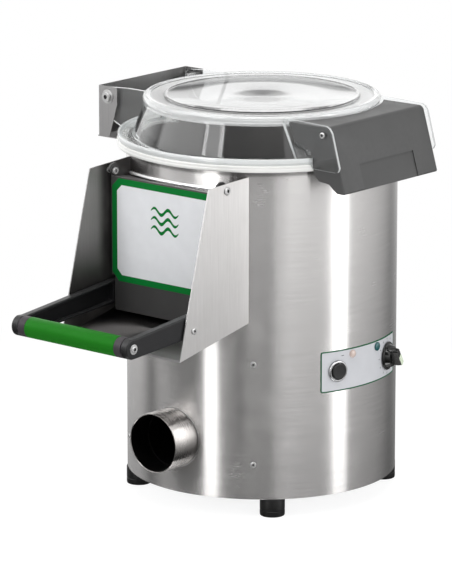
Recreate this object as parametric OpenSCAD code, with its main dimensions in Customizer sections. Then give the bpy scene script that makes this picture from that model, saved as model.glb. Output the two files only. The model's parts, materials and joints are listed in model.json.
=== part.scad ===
/* [Body] */
// Outer radius of the body shell
body_r = 190; // [180:1:205]
// Thickness of the shell sheet
shell_t = 1.2; // [0.8:0.1:2]
// Height of the shell's top edge above the floor
body_top = 490.5; // [470:0.5:520]
// Radial gap between the outside of the shell and the outside of the drum
drum_gap = 12; // [11:0.5:15]
// Thickness of the drum sheet
drum_t = 1; // [0.8:0.1:1.5]
// How far the rim flange ends short of the lid's edge
rim_short = 1.5; // [1:0.1:3]
// Thickness of the rim flange
rim_t = 1.5; // [1:0.1:2]
// How far the rim gasket reaches past the lid's edge
gasket_reach = 1.2; // [0.8:0.1:3]
// Height of the rim gasket above the rim flange
gasket_h = 6.2; // [4:0.1:9]
// Height of the feet
foot_h = 26; // [20:1:40]
// Diameter of a foot
foot_d = 35; // [28:1:40]
// Distance from the body's outside in to the middle of a foot
foot_inset = 16; // [14:1:30]
// Thickness of the base plate
base_t = 2; // [1.5:0.5:4]
// Radius of the opening in the base plate
base_open_r = 128; // [100:1:140]

/* [Chassis and drive] */
// Height of the chassis plate above the floor
chassis_z = 100; // [90:1:110]
// Thickness of the chassis plate
chassis_t = 3; // [2:0.5:5]
// Width of a strut that carries the chassis plate
strut_w = 22; // [18:1:30]
// Depth of a strut towards the body axis
strut_depth = 18; // [14:1:20]
// Thickness of a strut's sheet
strut_t = 2; // [1.5:0.5:3]
// Height of the lower shell screws above the base plate's underside
screw_low_rise = 50; // [30:1:60]
// Height of the upper shell screws above the chassis plate's underside
screw_high_rise = 118.6; // [100:0.1:125]
// Radius of the drive shaft
shaft_r = 12.5; // [10:0.5:15]
// Outer radius of a shaft bearing
bearing_r = 26; // [23:0.5:28]
// Width of a shaft bearing
bearing_w = 15; // [12:1:18]
// Outer radius of the bearing housing
housing_r = 30; // [29:0.5:33]
// Radius of the bearing housing's flange
housing_flange_r = 57; // [56:1:62]
// Distance of a flange bolt from both middle planes of the housing
flange_bolt_x = 36; // [34:1:38]
// Distance from the drive shaft to the motor shaft
motor_y = 105; // [100:1:110]
// Radius of the motor body
motor_r = 58; // [50:1:64]
// Radius of the motor shaft
motor_shaft_r = 7; // [6:0.5:9]
// Length of the motor shaft inside the motor
shaft_reach = 55; // [40:1:58]
// Groove radius of the driven pulley
driven_r = 57.2; // [45:0.1:60]
// Groove radius of the motor pulley
pinion_r = 17.2; // [15:0.1:24]
// Width of the belt
belt_w = 13; // [10:1:16]
// Thickness of the belt
belt_t = 5; // [3:0.5:7]
// Gap between the belt and a pulley
belt_gap = 0.3; // [0.3:0.1:1]
// Width of the control box across the body
box_w = 61; // [50:1:64]
// Length of the control box from front to back
box_l = 80; // [60:1:90]
// Height of the control box
box_h = 70; // [50:1:90]
// Wall of the control box
box_wall = 3; // [2:0.5:4]

/* [Drum and drain] */
// Height from the sump pan to the top of the rotating plate
plate_rise = 30; // [26:1:40]
// Thickness of the rotating plate
plate_t = 4; // [3:0.5:6]
// Radial gap between the rotating plate and the drum
plate_gap = 6; // [5:0.5:12]
// Height of the ribs on the rotating plate
rib_h = 5; // [3:0.5:8]
// Outer radius of the drain spout
drain_r = 42; // [30:1:46]
// Wall of the drain spout
drain_t = 1.5; // [1:0.1:2.5]
// Height of the drain spout's axis above the floor
drain_z = 103; // [92:1:112]
// How far the drain spout stands out of the body
drain_out = 42.8; // [30:0.1:70]
// Bend radius of the drain elbow
bend_r = 60; // [54:1:64]

/* [Chute] */
// Half width of the chute over its cheeks
chute_half = 107.9; // [100:0.1:112]
// Thickness of the chute sheet
chute_t = 1.5; // [1:0.1:2]
// How far the top of a cheek stands out of the body
cheek_top_out = 50; // [40:1:60]
// How far the bottom of a cheek stands out of the body
cheek_foot_out = 110; // [90:1:125]
// Height of the chute's underside at the door
chute_floor_z = 267.2; // [262:0.1:275]
// Fall of the chute's floor in degrees
chute_fall = 10.7; // [8:0.1:13]
// Width of the hem along the chute's front edge
hem_w = 14; // [8:1:20]
// Half width of the discharge window
window_half = 84; // [70:1:86]
// Height of the window's sill above the chute's underside
sill_rise = 17; // [14:1:22]

/* [Door] */
// Distance from the body to the door's front face
door_out = 16; // [14:0.5:20]
// Gap between the door's sides and the cheeks
door_side_gap = 7.9; // [4:0.1:12]
// Height of the door's lower part, which lies between the arms
door_foot_h = 49; // [47:1:56]
// Wall of the door moulding
door_wall = 3; // [2:0.1:4]
// Height of the door pivot below the top of the shell
pivot_drop = 21.5; // [18:0.5:26]
// Distance from the body to the door pivot
pivot_out = 12; // [11:0.5:14]
// Radius of a pivot bolt
pivot_bolt_r = 4; // [3:0.5:5]
// Radius of a guide pad
pad_r = 8; // [6:0.5:9]
// Outer radius of the door's pivot ears
ear_r = 11; // [9:0.5:12]
// Width of the label's border
border_w = 9; // [5:0.5:14]
// Cut off the label's corners
label_chamfer = 12; // [6:1:20]
// Width of an arm
arm_w = 11.8; // [8:0.1:14]
// Height of an arm at the door
arm_h = 32; // [24:1:34]
// Distance from the door's front face to the arm screws
arm_screw_in = 14; // [10:1:18]
// Half the height between the two screws of an arm
arm_screw_rise = 8; // [6:0.5:9]
// Distance from the door's front face to the grip's axis
grip_reach = 183.3; // [150:0.1:200]
// Radius of the grip
grip_r = 14.25; // [12:0.25:16]
// Length of the grip's end collars
collar_l = 12.3; // [8:0.1:30]
// Radius of the rod inside the grip
rod_r = 6; // [5:0.5:8]
// Depth of the screw holes in the rod's ends
rod_hole_l = 20; // [15:1:40]
// Fall of the arms' top edge from the door to the grip
arm_fall = 18; // [10:1:26]

/* [Lid] */
// How far the lid's edge reaches past the body
lid_reach = 11.5; // [9.5:0.5:16]
// How far the foot of the lid's wall lies inside the body's outside
lid_foot_in = 9; // [6:0.5:11]
// How far the lid's wall leans in from its foot to the bead
lid_lean = 16.2; // [10:0.1:18]
// Height of the bead's middle above the lid's foot
bead_rise = 56; // [45:0.5:60]
// Radius of the bead's section
bead_r = 5.5; // [4.5:0.5:8]
// How far the bead stands out of the lid's wall
bead_out = 1.5; // [0.5:0.1:3]
// Thickness of the clear sheet
lid_t = 3.5; // [2.5:0.1:4]
// Distance from the lid's wall in to the raised line round its disc
disc_in = 30.4; // [24:0.1:45]
// Radius of the moulding gate's mark in the middle of the lid
gate_r = 12; // [8:1:20]
// Distance from the lid's wall in to the end of the handle cheeks
cheek_in = 64.8; // [55:0.1:75]
// Gap between the lid and the rim gasket
lid_gap = 0.3; // [0.2:0.1:1]
// Distance from the lid's edge to its hinge axis
hinge_out = 2.5; // [1.5:0.5:6]
// Height of the hinge axis above the lid's foot
hinge_rise = 44.2; // [40:0.1:50]
// Outer half width of the hinge bracket
bracket_half = 94; // [80:1:98]
// Thickness of the bracket sheet
bracket_t = 1.5; // [1:0.1:2.5]
// Distance from the hinge axis to the bracket's back
bracket_out = 18.8; // [18.4:0.1:26]
// Radius of a hinge bolt
hinge_bolt_r = 5; // [4:0.5:6]

/* [Lid handle] */
// Inner half width between the clear handle cheeks
handle_half = 102.8; // [90:0.1:106]
// Thickness of a clear cheek
cheek_t = 3.5; // [3:0.5:7]
// Distance from the lid's edge to the handle's upper edge
handle_top_out = 3; // [1:0.5:8]
// Distance from the lid's edge to the handle's lower edge
handle_foot_out = 30.2; // [27:0.1:38]
// Height of the handle cover below its upper edge
cover_h = 89.6; // [80:0.1:96]
// Wall of the handle cover
cover_t = 3; // [2:0.1:4]
// Half width of the grip recess
recess_half = 59; // [40:1:80]
// Height of the grip recess
recess_h = 35.5; // [20:0.5:45]
// Depth of the grip recess
recess_d = 1.5; // [0.5:0.1:2.5]

/* [Controls] */
// Half angle of the control panel round the body
panel_half_angle = 24.8; // [23.5:0.1:28]
// Height of the control panel
panel_h = 58; // [52:1:70]
// Height of the control panel's middle above the floor
panel_z = 202; // [180:1:205]
// Thickness of the panel label
panel_t = 0.5; // [0.3:0.1:1]
// Outer radius of the start button's bezel
bezel_r = 15; // [14:0.5:17]
// Radius of the start button's cap
cap_r = 11.2; // [9:0.1:12]
// Height of the start button's cap
cap_h = 3.2; // [3:0.1:8]
// Travel of the start button
button_travel = 3; // [1:0.5:4]
// Radius of the timer knob's flange
knob_r = 20; // [16:0.5:22]
// Height of the timer knob
knob_h = 21; // [18:1:32]
// Length of the timer knob's shaft inside the shell
knob_shaft_l = 28; // [20:1:34]
// Width of the timer body
timer_w = 44; // [36:1:46]
// Depth of the timer body
timer_d = 34; // [30:1:40]
// Radius of the white lamp
white_lamp_r = 5.5; // [4:0.1:6.5]
// Radius of the green lamp
green_lamp_r = 6.2; // [4:0.1:7]

/* [Services] */
// Radius of the water inlet's threaded spigot
inlet_r = 13.2; // [9:0.1:16]
// Length of the water inlet's spigot
inlet_l = 14; // [12:1:22]
// Radius of the cable gland's bore
gland_bore_r = 4.5; // [3:0.5:6]

/* [Hidden] */
$fn = 96;

// Clearances
touch = 0.1;
run_gap = 0.05;
body_gap = 0.3;
cut = 1;
far = 400;

// Body
shell_in = body_r - shell_t;
drum_r = body_r - drum_gap;
drum_in = drum_r - drum_t;
foot_circle_r = body_r - foot_inset;
lid_flange_r = body_r + lid_reach;
rim_r = lid_flange_r - rim_short;
rim_top = body_top + rim_t;
gasket_top = rim_top + gasket_h;
base_top = foot_h + base_t;
strut_r = shell_in - touch;
// A flat strut touches the round shell along its two edges
strut_face = sqrt(strut_r * strut_r - strut_w * strut_w / 4);
strut_angles = [36.6, 143.4, 216.6, 323.4];
foot_angles = [45, 135, 225, 315];
foot_bolt_r = 4;
screw_r = 2;
screw_low_z = foot_h + screw_low_rise;
screw_high_z = chassis_z + screw_high_rise;

// Reach in Y of every cut through the front of the shell and drum
wall_front = -(body_r + 20);
wall_back = 90 - body_r;

// Chute and door, seen along the body's X axis
chute_in = chute_half - chute_t;
door_y = -(body_r + door_out);
window_z0 = chute_floor_z + sill_rise;
pivot_y = -(body_r + pivot_out);
pivot_z = body_top - pivot_drop;
door_half = chute_in - door_side_gap;
door_top = pivot_z - 6;
door_top_fall = 0.163;
door_bottom = chute_floor_z + 6.3;
door_step_z = door_bottom + door_foot_h;
window_z1 = door_top - 11;
frame_t = 1.2;
pad_space = 1.8;
arm_out = chute_in - pad_space;
arm_in = arm_out - arm_w;
foot_half = arm_in - body_gap;
seal_r = body_r + 3.2;
arm_top_z = door_step_z - 7;
arm_low_z = arm_top_z - arm_h;
grip_y = door_y - grip_reach;
arm_end_z = arm_top_z - arm_fall;
grip_z = arm_end_z - 12.4;
pad_y = -(body_r + 81);
pad_z = chute_floor_z + 20.4;
floor_slope = tan(chute_fall);
function floor_z(y) = chute_floor_z + floor_slope * (y - door_y);
label_half = door_half - 2.5;
label_z0 = door_step_z - 7;
label_z1 = door_top - 2.3;
label_t = 0.5;

// Drum bottom, drain and drive
plate_top = window_z0 - 16;
pan_z = plate_top - plate_rise;
pan_t = 1.5;
pan_r = drum_in - touch;
plate_r = drum_in - plate_gap;
plate_low = plate_top - plate_t;
spout_bore = drain_r - drain_t;
spout_neck_r = drain_r - 1;
spout_neck_bore = spout_bore - 0.5;
spout_seat = -(body_r + 1.2);
spout_step = spout_seat - 4;
spout_end = -(body_r - 6);
elbow_r = spout_neck_bore - body_gap;
elbow_t = 1.8;
elbow_bore = elbow_r - elbow_t;
leg_y = -118;
bend_y = leg_y - bend_r;
bend_z = drain_z + bend_r;
chassis_top = chassis_z + chassis_t;
chassis_edge = leg_y + elbow_r + 8;
housing_top = pan_z + 14;
seal_h = 8;
pulley_z = chassis_z - 25;
flange_rise = 4;
motor_h = pan_z - chassis_top - 8;
shaft_low = pulley_z - belt_w / 2 - flange_rise - 3;
hub_r = 22;
hub_h = plate_low - housing_top - 2;

// Lid
lid_foot_r = body_r - lid_foot_in;
lid_neck_r = lid_foot_r - lid_lean;
disc_r = lid_neck_r - disc_in;
lid_z = gasket_top + lid_gap;
flange_t = 4;
bead_z = lid_z + bead_rise;
lid_top = bead_z + bead_r;
bead_x = lid_neck_r + bead_out - bead_r;
hinge_x = -(lid_flange_r + hinge_out);
hinge_z = lid_z + hinge_rise;
bracket_x = hinge_x - bracket_out;
bracket_foot = body_top - 6.5;
bracket_top = hinge_z + 14.5;
ear_half = bracket_half - bracket_t - 2;
ear_t = 5;
bush_r = hinge_bolt_r + 2.5;
lid_ear_r = 13;

// Handle
handle_top_x = lid_flange_r + handle_top_out;
handle_foot_x = lid_flange_r + handle_foot_out;
cheek_start = lid_neck_r - cheek_in;
handle_top_z = lid_top - 7;
cover_foot_z = handle_top_z - cover_h;
cover_half = handle_half - 0.5;
cover_clear = 3;
handle_slope = (handle_foot_x - handle_top_x) / cover_h;
function handle_x(z) = handle_top_x + (handle_top_z - z) * handle_slope;

// Controls, placed by their angle from the front round the body
panel_face = panel_t + 0.15;
panel_r = body_r + panel_face;
control_z = panel_face + touch;
button_angle = 73.1;
white_angle = 81;
green_angle = 97;
timer_angle = 106.6;
lamp_rise = 20.5;
stem_r = 8;
knob_tilt = 38;
gland_angle = 160;
gland_z = foot_h + 44;
gland_seat = 1;
inlet_z = body_top - 45;

// Places children on the shell: Z points out of it, Y up, at an angle from the front
module on_shell(angle, z) {
    rotate([0, 0, angle]) translate([0, -body_r, z]) rotate([90, 0, 0]) children();
}

module tube(r, inner_r, h) {
    difference() {
        cylinder(r = r, h = h);
        translate([0, 0, -cut]) cylinder(r = inner_r, h = h + 2 * cut);
    }
}

// A tube between two radii and two heights
module ring(r, inner_r, z0, z1) {
    translate([0, 0, z0]) tube(r, inner_r, z1 - z0);
}

// A cylinder along Y from y0 to y1
module along_y(r, y0, y1) {
    translate([0, y0, 0]) rotate([-90, 0, 0]) cylinder(r = r, h = y1 - y0);
}

// A cylinder along X from x0 to x1
module along_x(r, x0, x1) {
    translate([x0, 0, 0]) rotate([0, 90, 0]) cylinder(r = r, h = x1 - x0);
}

// An outline in Y and Z, drawn out along X from x0 to x1
module side_plate(points, x0, x1) {
    translate([x0, 0, 0]) rotate([90, 0, 90]) linear_extrude(height = x1 - x0) polygon(points);
}

// An outline in X and Z, drawn out along Y from y0 to y1
module end_plate(points, y0, y1) {
    translate([0, y1, 0]) rotate([90, 0, 0]) linear_extrude(height = y1 - y0) polygon(points);
}

module block(x0, x1, y0, y1, z0, z1) {
    translate([x0, y0, z0]) cube([x1 - x0, y1 - y0, z1 - z0]);
}

// Both sides of the machine's middle plane X = 0
module both_sides() {
    children();
    mirror([1, 0, 0]) children();
}

// Front and back of the plane Y = 0
module both_ends() {
    children();
    mirror([0, 1, 0]) children();
}

// Flat rectangle with round corners
module round_rect(x0, x1, y0, y1, r) {
    translate([x0 + r, y0]) square([x1 - x0 - 2 * r, y1 - y0]);
    translate([x0, y0 + r]) square([x1 - x0, y1 - y0 - 2 * r]);
    for (x = [x0 + r, x1 - r], y = [y0 + r, y1 - r]) translate([x, y]) circle(r = r, $fn = 32);
}

// Socket head with its hexagon, standing on Z = 0
module socket_head(r, h) {
    difference() {
        cylinder(r = r, h = h);
        translate([0, 0, h * 0.4]) cylinder(r = r * 0.5, h = h, $fn = 6);
    }
}

// Low domed head, standing on Z = 0
module button_head(r, h) {
    difference() {
        union() {
            cylinder(r = r, h = h * 0.5);
            translate([0, 0, h * 0.5]) cylinder(r1 = r, r2 = r * 0.7, h = h * 0.5);
        }
        translate([0, 0, h * 0.4]) cylinder(r = r * 0.4, h = h, $fn = 6);
    }
}

// Static body

// Opening for the discharge window through shell or drum, grown by g
module window_cut(g) {
    block(-window_half - g, window_half + g, wall_front, wall_back, window_z0 - g, window_z1 + g);
}

module outer_shell() {
    // Lip above the door, parallel to the door's sloping top
    lip_z = door_top + 1.2;
    lip_y = [door_y, door_y + 56];
    color("silver") difference() {
        union() {
            ring(body_r, shell_in, foot_h, body_top);
            intersection() {
                ring(body_r + 2.6, body_r - touch, door_top - 30, door_top + 20);
                side_plate([
                    [lip_y[0], lip_z], [lip_y[1], lip_z - 56 * door_top_fall],
                    [lip_y[1], lip_z + 2.4 - 56 * door_top_fall], [lip_y[0], lip_z + 2.4]
                ], -chute_in + body_gap, chute_in - body_gap);
            }
        }
        window_cut(frame_t + touch);
        translate([0, 0, drain_z]) along_y(spout_neck_r + touch, wall_front, wall_back);
        for (a = strut_angles, z = [screw_low_z, screw_high_z])
            on_shell(a, z) translate([0, 0, -10]) cylinder(r = screw_r + touch, h = 20);
        on_shell(button_angle, panel_z) translate([0, 0, -10]) cylinder(r = cap_r + touch, h = 20);
        on_shell(white_angle, panel_z + lamp_rise) translate([0, 0, -10]) cylinder(r = 4.1, h = 20);
        on_shell(green_angle, panel_z + lamp_rise) translate([0, 0, -10]) cylinder(r = 4.1, h = 20);
        on_shell(timer_angle, panel_z) translate([0, 0, -10]) cylinder(r = 5, h = 20);
        on_shell(gland_angle, gland_z) translate([0, 0, -10]) cylinder(r = gland_bore_r + 3.1, h = 20);
        on_shell(180, inlet_z) translate([0, 0, -10]) cylinder(r = 10.1, h = 20);
    }
}

module body_rim() {
    color("gainsboro") ring(rim_r, drum_in, body_top, rim_top);
}

module rim_gasket() {
    r0 = drum_r + 8;
    r1 = lid_flange_r + gasket_reach;
    color("white") rotate_extrude() difference() {
        translate([0, 0]) round_rect(r0, r1, body_top - 1.5, gasket_top, 2);
        translate([0, body_top]) square([rim_r, rim_t]);
        translate([0, body_top - 10]) square([body_r + touch, 10.01]);
    }
}

module drum_wall() {
    color("lightgray") difference() {
        ring(drum_r, drum_in, pan_z - 2, body_top);
        window_cut(frame_t + touch);
        on_shell(180, inlet_z) translate([0, 0, -30]) cylinder(r = 8.1, h = 30);
    }
}

module door_frame() {
    color("silver") intersection() {
        ring(body_r, drum_in, window_z0 - 5, window_z1 + 5);
        difference() {
            window_cut(frame_t);
            translate([0, -cut, 0]) window_cut(0);
            block(-window_half, window_half, -body_r, 0, window_z0, window_z1);
        }
    }
}

module sump_pan() {
    color("lightgray") difference() {
        ring(pan_r, housing_r + touch, pan_z, pan_z + pan_t);
        translate([0, leg_y, pan_z - cut]) cylinder(r = elbow_bore, h = 10);
    }
}

module drain_elbow() {
    color("dimgray") {
        difference() {
            union() {
                translate([0, leg_y, bend_z]) cylinder(r = elbow_r, h = pan_z - bend_z - touch);
                // Flange under the pan
                translate([0, leg_y, pan_z - touch - 2.5]) cylinder(r = elbow_r + 6, h = 2.5);
                translate([0, bend_y, bend_z]) rotate([90, 0, 90]) rotate([0, 0, -90])
                    rotate_extrude(angle = 90) translate([bend_r, 0]) circle(r = elbow_r);
                translate([0, 0, drain_z]) along_y(elbow_r, spout_end - 14, bend_y);
            }
            translate([0, leg_y, bend_z]) cylinder(r = elbow_bore, h = pan_z);
            translate([0, bend_y, bend_z]) rotate([90, 0, 90]) rotate([0, 0, -90])
                rotate_extrude(angle = 90) translate([bend_r, 0]) circle(r = elbow_bore);
            translate([0, 0, drain_z]) along_y(elbow_bore, spout_end - 20, bend_y);
        }
    }
}

module drain_spout() {
    color("silver") translate([0, 0, drain_z]) difference() {
        union() {
            along_y(drain_r, -body_r - drain_out, spout_seat);
            along_y(spout_neck_r, spout_step, spout_end);
        }
        along_y(spout_bore, -body_r - drain_out - cut, spout_step);
        along_y(spout_neck_bore, spout_step - cut, spout_end + cut);
    }
}

module strut_space(g) {
    for (a = strut_angles) rotate([0, 0, a])
        block(-strut_w / 2 - g, strut_w / 2 + g, -strut_r, -strut_face + strut_depth + g, 0, pan_z);
}

module frame_struts() {
    back = -strut_face + strut_depth;
    color("silver") for (a = strut_angles) difference() {
        rotate([0, 0, a]) block(-strut_w / 2, strut_w / 2, -strut_face, back, base_top, pan_z - 2);
        rotate([0, 0, a]) block(
            -strut_w / 2 + strut_t, strut_w / 2 - strut_t, -strut_face + strut_t, 0, base_top - cut, pan_z);
        for (z = [screw_low_z, screw_high_z])
            on_shell(a, z) translate([0, 0, -10]) cylinder(r = screw_r + run_gap, h = 20);
    }
}

module chassis_plate() {
    color("gray") difference() {
        intersection() {
            translate([0, 0, chassis_z]) cylinder(r = strut_r - touch, h = chassis_t);
            block(-far, far, chassis_edge, far, 0, far);
        }
        strut_space(body_gap);
        translate([0, 0, chassis_z - cut]) cylinder(r = bearing_r - 4, h = 10);
        translate([0, motor_y, chassis_z - cut]) cylinder(r = motor_shaft_r + 5, h = 10);
        for (x = [-1, 1], y = [-1, 1])
            translate([x * flange_bolt_x, y * flange_bolt_x, chassis_z - cut]) cylinder(r = 3.1, h = 10);
    }
}

module base_plate() {
    color("gray") difference() {
        translate([0, 0, foot_h]) cylinder(r = strut_r - touch, h = base_t);
        for (a = foot_angles) rotate([0, 0, a]) translate([0, -foot_circle_r, foot_h - cut])
            cylinder(r = foot_bolt_r + body_gap, h = 10);
        translate([0, 0, foot_h - cut]) cylinder(r = base_open_r, h = 10);
    }
}

module feet() {
    color([0.08, 0.08, 0.08]) for (a = foot_angles) rotate([0, 0, a]) translate([0, -foot_circle_r, 0])
        difference() {
            union() {
                translate([0, 0, 1]) cylinder(r = foot_d / 2, h = foot_h - 1);
                cylinder(r1 = foot_d / 2 - 1, r2 = foot_d / 2, h = 1);
            }
            translate([0, 0, -cut]) cylinder(r = foot_bolt_r + body_gap, h = far);
            translate([0, 0, -cut]) cylinder(r = 9, h = foot_h * 0.3 + cut);
        }
}

module foot_bolts() {
    head_z = foot_h * 0.3;
    color("silver") for (a = foot_angles) rotate([0, 0, a]) translate([0, -foot_circle_r, 0]) {
        translate([0, 0, head_z]) mirror([0, 0, 1]) socket_head(6.5, 5);
        translate([0, 0, head_z]) cylinder(r = foot_bolt_r, h = base_top + 10 - head_z);
        translate([0, 0, base_top]) cylinder(r = 7, h = 6.5, $fn = 6);
    }
}

module bearing_housing() {
    color("slategray") difference() {
        union() {
            difference() {
                translate([0, 0, chassis_top]) cylinder(r = housing_flange_r, h = 6);
                // Room for the motor's foot
                translate([0, motor_y, chassis_z]) cylinder(r = motor_r + 1, h = 20);
            }
            translate([0, 0, chassis_top]) cylinder(r = housing_r, h = housing_top - chassis_top);
            for (x = [-1, 1], y = [-1, 1])
                translate([x * flange_bolt_x, y * flange_bolt_x, chassis_z - 6]) cylinder(r = 3, h = 20);
            for (x = [-1, 1], y = [-1, 1])
                translate([x * flange_bolt_x, y * flange_bolt_x, chassis_top + 6])
                    cylinder(r = 5, h = 5, $fn = 6);
        }
        translate([0, 0, chassis_top - cut]) cylinder(r = bearing_r - 4, h = far);
        translate([0, 0, chassis_top + 3]) cylinder(r = bearing_r, h = bearing_w);
        translate([0, 0, housing_top - seal_h - bearing_w]) cylinder(r = bearing_r, h = far);
    }
}

module shaft_bearings() {
    color("lightsteelblue") for (z = [chassis_top + 3, housing_top - seal_h - bearing_w])
        ring(bearing_r, shaft_r + run_gap, z, z + bearing_w);
}

module shaft_seal() {
    color("black") ring(bearing_r, shaft_r + run_gap, housing_top - seal_h, housing_top);
}

// Outline that a belt follows round both pulleys at a distance g from their grooves
module belt_path(g) {
    hull() {
        circle(r = driven_r + g, $fn = 64);
        translate([0, motor_y]) circle(r = pinion_r + g, $fn = 32);
    }
}

module drive_belt() {
    color([0.1, 0.1, 0.1]) translate([0, 0, pulley_z - belt_w / 2]) linear_extrude(height = belt_w)
        difference() {
            belt_path(belt_gap + belt_t);
            belt_path(belt_gap);
        }
}

// A flanged pulley with its groove at radius r
module pulley(r, bore) {
    half = belt_w / 2 + 0.5;
    difference() {
        union() {
            ring(r, bore, pulley_z - half, pulley_z + half);
            ring(r + belt_t, bore, pulley_z - half - flange_rise, pulley_z - half);
            ring(r + belt_t, bore, pulley_z + half, pulley_z + half + flange_rise);
        }
        cylinder(r = bore, h = far);
    }
}

module driven_pulley() {
    color("darkgray") difference() {
        pulley(driven_r, shaft_r + run_gap);
        for (a = [0 : 60 : 300]) rotate([0, 0, a])
            translate([(driven_r + shaft_r) / 2 + 2, 0, 0]) cylinder(r = driven_r * 0.17, h = far);
    }
}

module motor_pulley() {
    color("darkgray") translate([0, motor_y, 0]) pulley(pinion_r, motor_shaft_r + run_gap);
}

module drive_shaft() {
    color("gainsboro") {
        ring_low = pulley_z - belt_w / 2 - flange_rise;
        translate([0, 0, shaft_low]) cylinder(r = shaft_r, h = plate_top - shaft_low);
        translate([0, 0, plate_top]) cylinder(r = shaft_r * 0.6, h = 12);
        translate([0, 0, shaft_low - 2]) cylinder(r = shaft_r + 3, h = ring_low - shaft_low + 1.5);
    }
}

module rotating_plate() {
    color("gainsboro") {
        difference() {
            union() {
                translate([0, 0, plate_low]) cylinder(r = plate_r, h = plate_t);
                translate([0, 0, plate_low - hub_h]) cylinder(r = hub_r, h = hub_h + plate_t);
                // Ribs that tumble the load
                for (a = [0 : 60 : 300]) rotate([0, 0, a]) translate([0, 0, plate_top])
                    intersection() {
                        along_x(rib_h, 40, plate_r - 14);
                        block(0, far, -far, far, -1, far);
                    }
                // Paddles that sweep the sump
                for (a = [0, 180]) rotate([0, 0, a])
                    block(60, pan_r - 12, -2, 2, pan_z + pan_t + 4, plate_low + 0.5);
            }
            translate([0, 0, plate_low - hub_h - cut]) cylinder(r = shaft_r + run_gap, h = far);
        }
    }
}

module plate_nut() {
    color("silver") difference() {
        union() {
            translate([0, 0, plate_top]) cylinder(r = 20, h = 2);
            translate([0, 0, plate_top + 2]) cylinder(r = 13, h = 10, $fn = 6);
            translate([0, 0, plate_top + 12]) sphere(r = 9);
        }
        translate([0, 0, plate_top - cut]) cylinder(r = shaft_r * 0.6 + run_gap, h = 12 + run_gap + cut);
    }
}

module motor_body() {
    color("steelblue") translate([0, motor_y, 0]) difference() {
        union() {
            translate([0, 0, chassis_top]) cylinder(r = motor_r - 4, h = motor_h);
            translate([0, 0, chassis_top]) cylinder(r = motor_r, h = 8);
            translate([0, 0, chassis_top + motor_h - 22]) cylinder(r = motor_r, h = 22);
            for (z = [chassis_top + 16 : 8 : chassis_top + motor_h - 28])
                translate([0, 0, z]) cylinder(r = motor_r - 1, h = 3);
            block(-18, 18, -motor_r - 6, -motor_r + 8, chassis_top + 30, chassis_top + 70);
        }
        translate([0, 0, chassis_top - cut]) cylinder(r = motor_shaft_r + run_gap, h = shaft_reach + 5);
    }
}

module motor_shaft() {
    color("gainsboro") translate([0, motor_y, shaft_low])
        cylinder(r = motor_shaft_r, h = chassis_top + shaft_reach - shaft_low);
}

module control_box() {
    x0 = -drum_r + 28;
    x1 = x0 + box_w;
    y0 = 20 - box_l / 2;
    y1 = y0 + box_l;
    top = chassis_top + box_h;
    color("dimgray") difference() {
        block(x0, x1, y0, y1, chassis_top, top);
        block(
            x0 + box_wall, x1 - box_wall, y0 + box_wall, y1 - box_wall,
            chassis_top + box_wall, top - box_wall);
        // Hole for the wires
        translate([(x0 + x1) / 2, 20, top - box_wall - cut]) cylinder(r = 8, h = 10);
    }
}

module discharge_chute() {
    back = -body_r + 45;
    top = pivot_z + 12;
    front_top = [-(body_r + cheek_top_out), top - 4];
    front_foot_y = -(body_r + cheek_foot_out);
    front_foot = [front_foot_y, floor_z(front_foot_y)];
    cheek = [[back, top], front_top, front_foot, [back, floor_z(back)]];
    hem_y = front_foot_y + hem_w;
    color("silver") difference() {
        union() {
            both_sides() side_plate(cheek, chute_in, chute_half);
            side_plate([
                front_foot, [back, floor_z(back)],
                [back, floor_z(back) + chute_t], [front_foot_y, front_foot[1] + chute_t]
            ], -chute_half, chute_half);
            side_plate([
                front_foot, [hem_y, floor_z(hem_y)],
                [hem_y, floor_z(hem_y) + 2 * chute_t], [front_foot_y, front_foot[1] + 2 * chute_t]
            ], -chute_in, chute_in);
        }
        cylinder(r = body_r + run_gap, h = far * 2);
        translate([0, pivot_y, pivot_z]) along_x(pivot_bolt_r + touch, -far, far);
        translate([0, pad_y, pad_z]) along_x(screw_r + touch, -far, far);
    }
}

module door_pivot_bolts() {
    color("silver") both_sides() translate([0, pivot_y, pivot_z]) {
        along_x(pivot_bolt_r, door_half - door_wall - 2.5, chute_half);
        translate([chute_half, 0, 0]) rotate([0, 90, 0]) button_head(pivot_bolt_r + 2, 2.2);
        along_x(pivot_bolt_r + 1, door_half - door_wall - 5.5, door_half - door_wall - body_gap);
    }
}

module guide_pads() {
    color("black") both_sides() translate([0, pad_y, pad_z]) difference() {
        along_x(pad_r, arm_out + 0.4, chute_in);
        along_x(screw_r + run_gap, 0, far);
    }
}

module guide_screws() {
    color("silver") both_sides() translate([0, pad_y, pad_z]) {
        along_x(screw_r, arm_out + 0.5, chute_half);
        translate([chute_half, 0, 0]) rotate([0, 90, 0]) button_head(5, 2.2);
    }
}

module door_outline(inset, y0, y1) {
    z1 = door_top - inset;
    h1 = door_half - inset;
    h0 = foot_half - inset;
    side_plate([
        [y0, door_step_z - inset], [y1, door_step_z - inset],
        [y1, z1 - (y1 - door_y) * door_top_fall], [y0, z1 - (y0 - door_y) * door_top_fall]
    ], -h1, h1);
    // The lower edge runs parallel to the chute's floor
    z0 = door_bottom + inset;
    side_plate([
        [y0, z0 + floor_slope * (y0 - door_y)], [y1, z0 + floor_slope * (y1 - door_y)],
        [y1, door_step_z], [y0, door_step_z]
    ], -h0, h0);
}

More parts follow.
